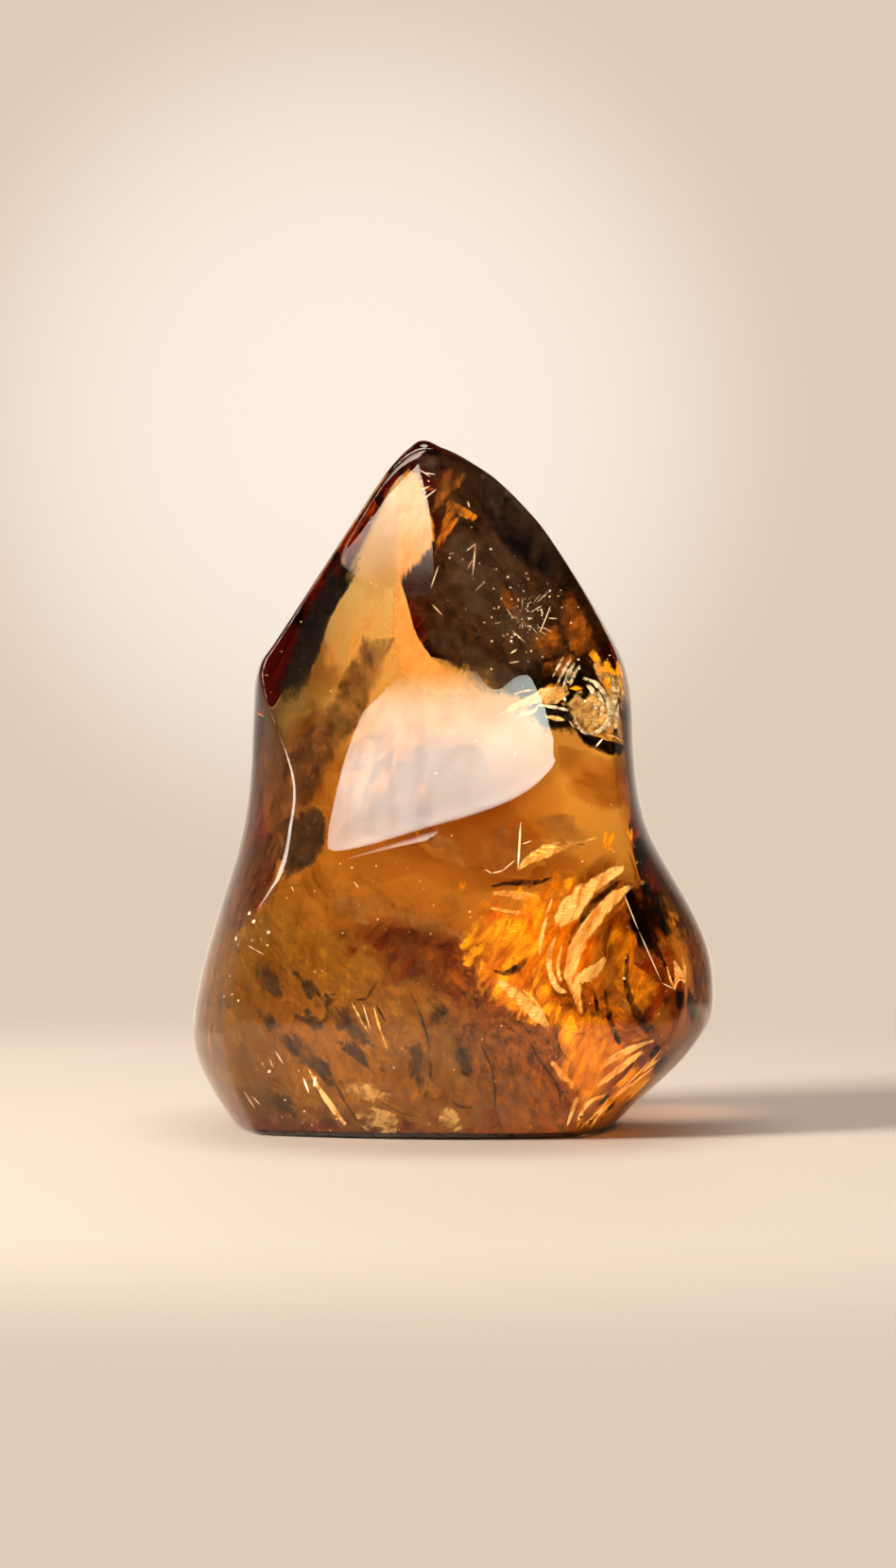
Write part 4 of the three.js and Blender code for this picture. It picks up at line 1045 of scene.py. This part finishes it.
def world():
    """A cream sweep: lit low down and behind, dim towards the camera and overhead."""
    made = bpy.data.worlds.new("cream_sweep")
    bpy.context.scene.world = made
    made.use_nodes = True
    tree = made.node_tree
    tree.nodes.clear()
    way = node(tree, "ShaderNodeTexCoord").outputs["Generated"]
    axes = node(tree, "ShaderNodeSeparateXYZ", {"Vector": way})
    horizon = node(tree, "ShaderNodeMapRange", {
        "Value": axes.outputs["Z"], "From Min": -0.02, "From Max": 0.3, "To Min": 0.5, "To Max": 0.08},
        interpolation_type="SMOOTHSTEP").outputs["Result"]
    dim = node(tree, "ShaderNodeMath", {0: horizon, 1: 0.25}, operation="MULTIPLY").outputs["Value"]
    lit = 1.0
    for axis, start, end, first, last in (
            ("X", 0.1, 0.5, 1.0, dim),                   # darker to the right
            ("X", -0.65, -0.15, horizon, 1.0),           # and to the left,
            ("Y", -0.85, 0.15, horizon, 1.0),            # round behind the camera,
            ("Z", math.sin(math.radians(22)), math.sin(math.radians(48)), 1.0, 0.04),    # and overhead
            ("Z", -0.07, 0.05, 1.25, 1.0)):              # a little brighter from below
        eased = node(tree, "ShaderNodeMapRange", {
            "Value": axes.outputs[axis], "From Min": start, "From Max": end, "To Min": first,
            "To Max": last}, interpolation_type="SMOOTHSTEP")
        lit = node(tree, "ShaderNodeMath", {0: lit, 1: eased.outputs["Result"]},
                   operation="MULTIPLY").outputs["Value"]
    towards = node(tree, "ShaderNodeVectorMath", {0: way, 1: direction(181.2, 2.8)},
                   operation="DOT_PRODUCT")
    glow = node(tree, "ShaderNodeMapRange", {
        "Value": towards.outputs["Value"], "From Min": math.cos(math.radians(5.9)), "From Max": 1.0,
        "To Min": 0.0, "To Max": 1.0}, interpolation_type="SMOOTHSTEP")
    backdrop = node(tree, "ShaderNodeMix", {
        "Factor": glow.outputs["Result"], "A": colour("#DFCCB6"), "B": colour("#FCEDDF")},
        data_type="RGBA")
    seen = node(tree, "ShaderNodeLightPath").outputs["Is Camera Ray"]
    strength = node(tree, "ShaderNodeMix", {"Factor": seen, "A": lit, "B": 1.0})
    shade = node(tree, "ShaderNodeMix", {
        "Factor": seen, "A": colour("#F3E2D0"), "B": backdrop.outputs["Result"]}, data_type="RGBA")
    back = node(tree, "ShaderNodeBackground", {
        "Color": shade.outputs["Result"], "Strength": strength.outputs["Result"]})
    tree.links.new(back.outputs["Background"],
                   node(tree, "ShaderNodeOutputWorld").inputs["Surface"])


# The two diffusers, as X and Y at one height: their reflections are the wing and the patch.
DIFFUSER_Z = 800
WING_DIFFUSER = [
    (-15, -470), (-5, -520), (-16, -600), (-60, -665), (-170, -690), (-270, -685), (-380, -665),
    (-450, -630), (-513, -588), (-586, -490), (-652, -387), (-678, -345), (-690, -300), (-560, -200),
    (-250, -320), (-60, -420)]
PATCH_DIFFUSER = [
    (-198, -890), (-215, -1180), (-236, -1316), (-310, -1593), (-521, -1400), (-579, -1313),
    (-700, -1150), (-800, -1040), (-440, -900)]
STRIP_AWAY, STRIP_HALF_WIDTH, STRIP_HALF_HEIGHT = 900, 45, 150


def lit_card(name, points, faces, made):
    """A lit card of the studio that only reflections and sight through the crystal show."""
    card = mesh_object(name, points, faces, made, smooth=False)
    card.visible_camera = card.visible_diffuse = False


def overhead_diffusers():
    """Two cloths above and in front, soft along one edge, whose reflections lie on the upper front face."""
    made, tree, out = material("lit_diffuser_cloth")
    place = node(tree, "ShaderNodeTexCoord").outputs["Object"]
    axes = node(tree, "ShaderNodeSeparateXYZ", {"Vector": place})
    along = node(tree, "ShaderNodeMapRange", {
        "Value": axes.outputs["Y"], "From Min": -1.6, "From Max": -0.2})
    warm, cool = np.array(colour("#FFEEDC")), 1.04 * np.array(colour("#EEF8EC"))
    light = node(tree, "ShaderNodeValToRGB", {"Fac": along.outputs["Result"]}, stops=[
        (at, tuple(level * tint)) for at, level, tint in (
            (0.0, 0.95, warm), (0.24, 0.9, warm), (0.36, 0.4, warm), (0.48, 0.03, warm),
            (0.65, 0.0, cool), (0.72, 0.7, cool), (0.79, 1.0, cool), (1.0, 0.75, cool))])
    light.color_ramp.interpolation = "EASE"
    folds = node(tree, "ShaderNodeTexNoise", {
        "Vector": place, "Scale": 6.0, "Detail": 3.0, "Distortion": 0.6})
    uneven = node(tree, "ShaderNodeMapRange", {
        "Value": folds.outputs["Fac"], "From Min": 0.3, "From Max": 0.7, "To Min": 0.7, "To Max": 1.25})
    across = node(tree, "ShaderNodeMapRange", {
        "Value": axes.outputs["X"], "From Min": -0.9, "From Max": -0.2, "To Min": 8.0, "To Max": 12.5})
    level = node(tree, "ShaderNodeMath", {0: across.outputs["Result"], 1: uneven.outputs["Result"]},
                 operation="MULTIPLY")
    glow = node(tree, "ShaderNodeEmission", {
        "Color": light.outputs["Color"], "Strength": level.outputs["Value"]})
    tree.links.new(glow.outputs["Emission"], out.inputs["Surface"])
    points = [(x, y, DIFFUSER_Z) for x, y in WING_DIFFUSER + PATCH_DIFFUSER]
    faces = [range(len(WING_DIFFUSER)), range(len(WING_DIFFUSER), len(points))]
    lit_card("overhead_panel", points, faces, made)


def side_strip():
    """A narrow lit strip high on the left, whose reflection runs down the left ridge."""
    made, tree, out = material("lit_strip")
    glow = node(tree, "ShaderNodeEmission", {"Color": colour("#FFF3E4"), "Strength": 13.0})
    tree.links.new(glow.outputs["Emission"], out.inputs["Surface"])
    way = direction(-84, 33)
    side = way.cross(Vector((0, 0, 1))).normalized() * STRIP_HALF_WIDTH
    up = side.normalized().cross(way) * STRIP_HALF_HEIGHT
    middle = way * STRIP_AWAY
    corners = [middle - side - up, middle + side - up, middle + side + up, middle - side + up]
    lit_card("side_strip", [list(corner) for corner in corners], [range(4)], made)


def key_light():
    """A soft square lamp on the left, kept out of reflections, where the strip stands for it."""
    lamp = bpy.data.lights.new("key_left", "AREA")
    lamp.shape, lamp.size = "SQUARE", 0.26
    lamp.energy, lamp.color = 12, colour("#FFF6EC")[:3]
    made = bpy.data.objects.new("key_left", lamp)
    bpy.context.scene.collection.objects.link(made)
    way = direction(-64, 24)
    made.location = Vector((0, 0, HEIGHT * MM / 2)) + way * 0.9
    made.rotation_euler = (-way).to_track_quat("-Z", "Y").to_euler()
    made.visible_glossy = False


def camera():
    """A 105 mm lens at 0.6 m, a little above the crystal's middle."""
    lens = bpy.data.cameras.new("camera")
    lens.lens, lens.sensor_width = 105, 36
    made = bpy.data.objects.new("camera", lens)
    bpy.context.scene.collection.objects.link(made)
    made.location = (-0.0007, -0.600, 0.063)
    aim = Vector((-0.0007, 0, 0.045)) - made.location
    made.rotation_euler = aim.to_track_quat("-Z", "Y").to_euler()
    bpy.context.scene.camera = made


def studio():
    """The floor, the light and the camera, with bounces enough for light inside the crystal."""
    floor()
    world()
    overhead_diffusers()
    key_light()
    side_strip()
    camera()
    cycles = bpy.context.scene.cycles
    cycles.max_bounces, cycles.transmission_bounces, cycles.glossy_bounces = 32, 30, 16
    cycles.transparent_max_bounces = 32
    bpy.context.scene.view_settings.view_transform = "Standard"


# ---- assembly ----------------------------------------------------------------------------------

# Veils just under the sides: (angles round the spine, heights, depth); -90 degrees is the front.
SKIN_VEILS = [((160, 215), (28, 50), 0.6), ((198, 217), (48, 64), 0.6), ((-22, 35), (27, 56), 0.6)]
DARK_SKIN_VEILS = [((-12, 60), (57, 87.5), 0.5)]
TAN_SKIN_VEILS = [((120, 222), (1.2, 31), 0.7)]
AMBER_SKIN_VEILS = [((-30, 62), (1.2, 33), 0.7), ((60, 150), (3, 24), 3.0)]
# A dark ring just inside the base edge: a painted shade that draws the dark line along the foot.
BASE_SHADE_LINE = [((-180, 180), (0.25, 1.0), 0.3)]
BURST_NEEDLES, BURST_GRAINS, DUST_GRAINS = 20, 80, 420
SEED = 11


def scattered(count, rng, low=1.0, high=86.0, skin=0.8):
    """Random places inside the crystal."""
    places = rng.uniform((-34, -24, low), (34, 24, high), (8 * count, 3))
    return places[outside(*places.T) < -skin][:count]


def sparkle_burst(rng):
    """The spray of short needles and grains in the upper right of the crystal."""
    middle = np.array(BURST_MIDDLE)
    needles, grains = [], []
    for _ in range(BURST_NEEDLES):
        way = unit(rng.normal(size=3) * (1, 0.5, 1))
        begin = middle + way * rng.uniform(0.5, 3.5)
        needles.append(needle(rng.uniform(0.025, 0.05), begin, begin + way * rng.uniform(0.6, 2.6)))
    for _ in range(BURST_GRAINS):
        grains.append(grain(rng.uniform(0.12, 0.42), middle + rng.normal(size=3) * (3.4, 1.2, 3.8), rng))
    return needles, grains


def inclusions():
    """Everything inside the crystal. Pattern sizes are in mm; fractures run along their growth."""
    rng = np.random.default_rng(SEED)

    # Fractures filled with air, which flash pale gold to orange with the iron on their walls; part of the
    # flash is a painted glow, by emission.
    leaf = lit_fracture("pale_gold_leaf", "#C47C1E", "#FFDA8C", 0.85, (0.8, 0.8, 6), 30, (0.8, 1.0), 0.4)
    gold = lit_fracture("orange_gold_plate", "#A85404", "#FFB41E", 0.9, (1.6, 1.6, 5), 30, (0.6, 1.0),
                        0.15, 0.6)
    orange = lit_fracture("iron_orange_film", "#A85006", "#F0961C", 0.5)
    silver = lit_fracture("silver_fracture", "#7A5C38", "#FFEBC0", 0.7, (1, 1, 1), 0, (0.5, 1.0), 0.1)
    tan = lit_fracture("tan_fracture", "#94602A", "#F0C070", 0.5, (1.4, 1.4, 2.2), 30, (0.6, 1.0), 0.4, 0.5)
    # Glints: their sparkle is partly a painted highlight, by strong emission.
    glint = lit_fracture("pale_glint", "#F6CE94", "#FFF2DC", 1.6, (1, 1, 1), 0, (1.0, 1.0))
    # Iron oxide and healed cracks: matt, rust red to nearly black, with frayed edges; the rust and olive
    # ones glow faintly, a painted light, and the darkest also serves as painted shade.
    rust = mottled("rust_patch", "#6A3008", "#C8741E", (0.3, 0.9), (3, 3, 5), 30, 0.5, 0.3)
    black = mottled("dark_flake_and_painted_shade", "#080402", "#20110A", (0.85, 1.0), (1.2, 1.2, 2.4), -27, start=0.6,
                    ragged=0.15)
    smudge = mottled("olive_smudge", "#2A180C", "#6A4420", (0.5, 0.95), (1.6, 1.6, 2.6), -27, 0.22, 0.2,
                     0.6)
    swirl = mottled("dark_swirl", "#1E0E04", "#542A0A", (0.4, 0.95), (1.2, 1.2, 3), 30, start=0.1)
    # Clouds of fine matter: brown and milky low down, golden on the right. Their brightness is partly a
    # painted glow, by emission, and the golden one stands in for light gathered inside the crystal.
    brown = mottled("brown_veil", "#4E2406", "#A4601A", (0.1, 0.62), (7, 7, 10), -20, 0.2, 0.2, 0.15)
    milky = mottled("milky_brown_haze", "#8C5C18", "#C08830", (0.7, 0.96), (3.4, 3.4, 4.4), -27,
                    0.5, 0.25, 0.35)
    brindle = mottled("brindled_brown", "#4E2404", "#CC841A", (0.5, 0.93), (2.6, 2.6, 4), -20, 0.46, 0.35)
    glow = mottled("golden_veil_painted_glow", "#AE5C02", "#FFB018", (0.5, 0.95), (2.4, 2.4, 7), 30, 0.72, 0.2, 0.5)
    window = mottled("amber_window", "#D88C3C", "#E8A450", (0.94, 1.0), (3, 3, 9), 10, 0.58, 0.8, 0.05)
    streaks = mottled("amber_streaks", "#C87C30", "#F0AC58", (0.0, 0.5), (3, 3, 18), 8, 0.8, 0.1)
    pale = mottled("pale_veil", "#8E5A28", "#D8A468", (0.0, 0.4), (4, 4, 10), -27, 0.25)
    haze = mottled("silver_haze", "#4A3324", "#8C6E56", (0.08, 0.45), (6, 6, 6), 0, 0.16, 0.3)
    smoky = mottled("smoky_veil", "#120A06", "#5A3A20", (0.75, 0.98), (2.6, 2.6, 8), -35, 0.5, 0.7, 0.15)
    # Cloudy zones just under the sides, which close off the deepest paths of the light: partly smoky zones,
    # partly a painted shade that darkens the rims; their emission is a painted glow.
    skin = mottled("smoky_skin", "#3A1A06", "#9A5A20", (0.4, 0.92), (5, 5, 16), -12, 0.2, 0.35)
    dark_skin = mottled("dark_smoky_skin", "#1A0E08", "#543620", (0.7, 0.97), (4, 4, 10), 20, 0.35, 0.5)
    tan_skin = mottled("tan_skin", "#70440A", "#A87024", (0.6, 0.95), (4, 4, 14), -27, 0.3, 0.2, 0.3)
    amber_skin = mottled("amber_skin", "#5E2E06", "#C87C20", (0.5, 0.9), (3, 3, 6), 30, 0.38, 0.2, 0.3)
    # The same quartz, coloured deeper by natural radiation: it only absorbs, and bends no light.
    smoke = quartz("darker_smoke", 1.0, SMOKE_ABSORPTION)

    needles, grains = sparkle_burst(rng)
    for name, outlines, finish, bulge, ripple in (      # strips have no bulge
            ("bright_leaves", LEAVES, leaf, None, 0),
            ("tan_plates", TAN_PLATES, tan, 0.35, 0.12),
            ("gold_plates", GOLD_PLATES, gold, 0.35, 0.1),
            ("orange_flakes", ORANGE_FLAKES, orange, 0.2, 0),
            ("silver_arcs", SILVER_ARCS, silver, None, 0),
            ("rust_patches", RUST_PATCHES, rust, 0.4, 0),
            ("dark_flakes", DARK_FLAKES, black, 0.3, 0),
            ("olive_smudges", SMUDGES, smudge, 0.3, 0),
            ("dark_swirls", SWIRLS, swirl, None, 0)):
        inclusion(name, flat_bodies(outlines, rng, bulge, ripple), finish)
    inclusion("dark_grains", [grain(size, place, rng) for size, place in DARK_SPECKS], black, False)
    for name, outlines, finish, bulge in (
            ("brown_veils", BROWN_VEILS, brown, 1.5),
            ("milky_veils", MILKY_VEILS, milky, 1.0),
            ("brindled_veils", BRINDLED_VEILS, brindle, 1.0),
            ("golden_veil_painted_glow", GOLDEN_PAINTED_GLOW_VEILS, glow, 1.0),
            ("smoky_veils", SMOKY_VEILS, smoky, 0.8),
            ("amber_windows", AMBER_WINDOWS, window, 0.2),
            ("amber_streaks", AMBER_STREAKS, streaks, 0.8),
            ("pale_veils", PALE_VEILS, pale, 1.2),
            ("silver_haze", HAZE, haze, 0.8)):
        inclusion(name, flat_bodies(outlines, rng, bulge, 0), finish)
    for name, veils, finish in (
            ("skin_veils", SKIN_VEILS, skin),
            ("dark_skin_veils", DARK_SKIN_VEILS, dark_skin),
            ("tan_skin_veils", TAN_SKIN_VEILS, tan_skin),
            ("amber_skin_veils", AMBER_SKIN_VEILS, amber_skin),
            # the dark line along the foot is a painted shade
            ("painted_base_shade_line", BASE_SHADE_LINE, black)):
        inclusion(name, [skin_veil(*veil) for veil in veils], finish)
    inclusion("pale_needles", [needle(*each) for each in NEEDLES] + needles, glint)
    dust = [grain(rng.uniform(0.1, 0.26), place, rng) for place in scattered(DUST_GRAINS, rng)]
    inclusion("glints", [grain(size, place, rng) for size, place in GLINTS] + grains + dust, glint, False)
    inclusion("smoke_clouds", [smoke_cloud(*each, rng) for each in SMOKE], smoke)


studio()
# Quartz, lapped and polished: clear, amber where it is thin and dark brown where deep.
flame = flame_mesh(quartz("smoky_quartz", QUARTZ_IOR, QUARTZ_ABSORPTION))
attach(flame, "root")
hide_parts("quartz_flame")
inclusions()
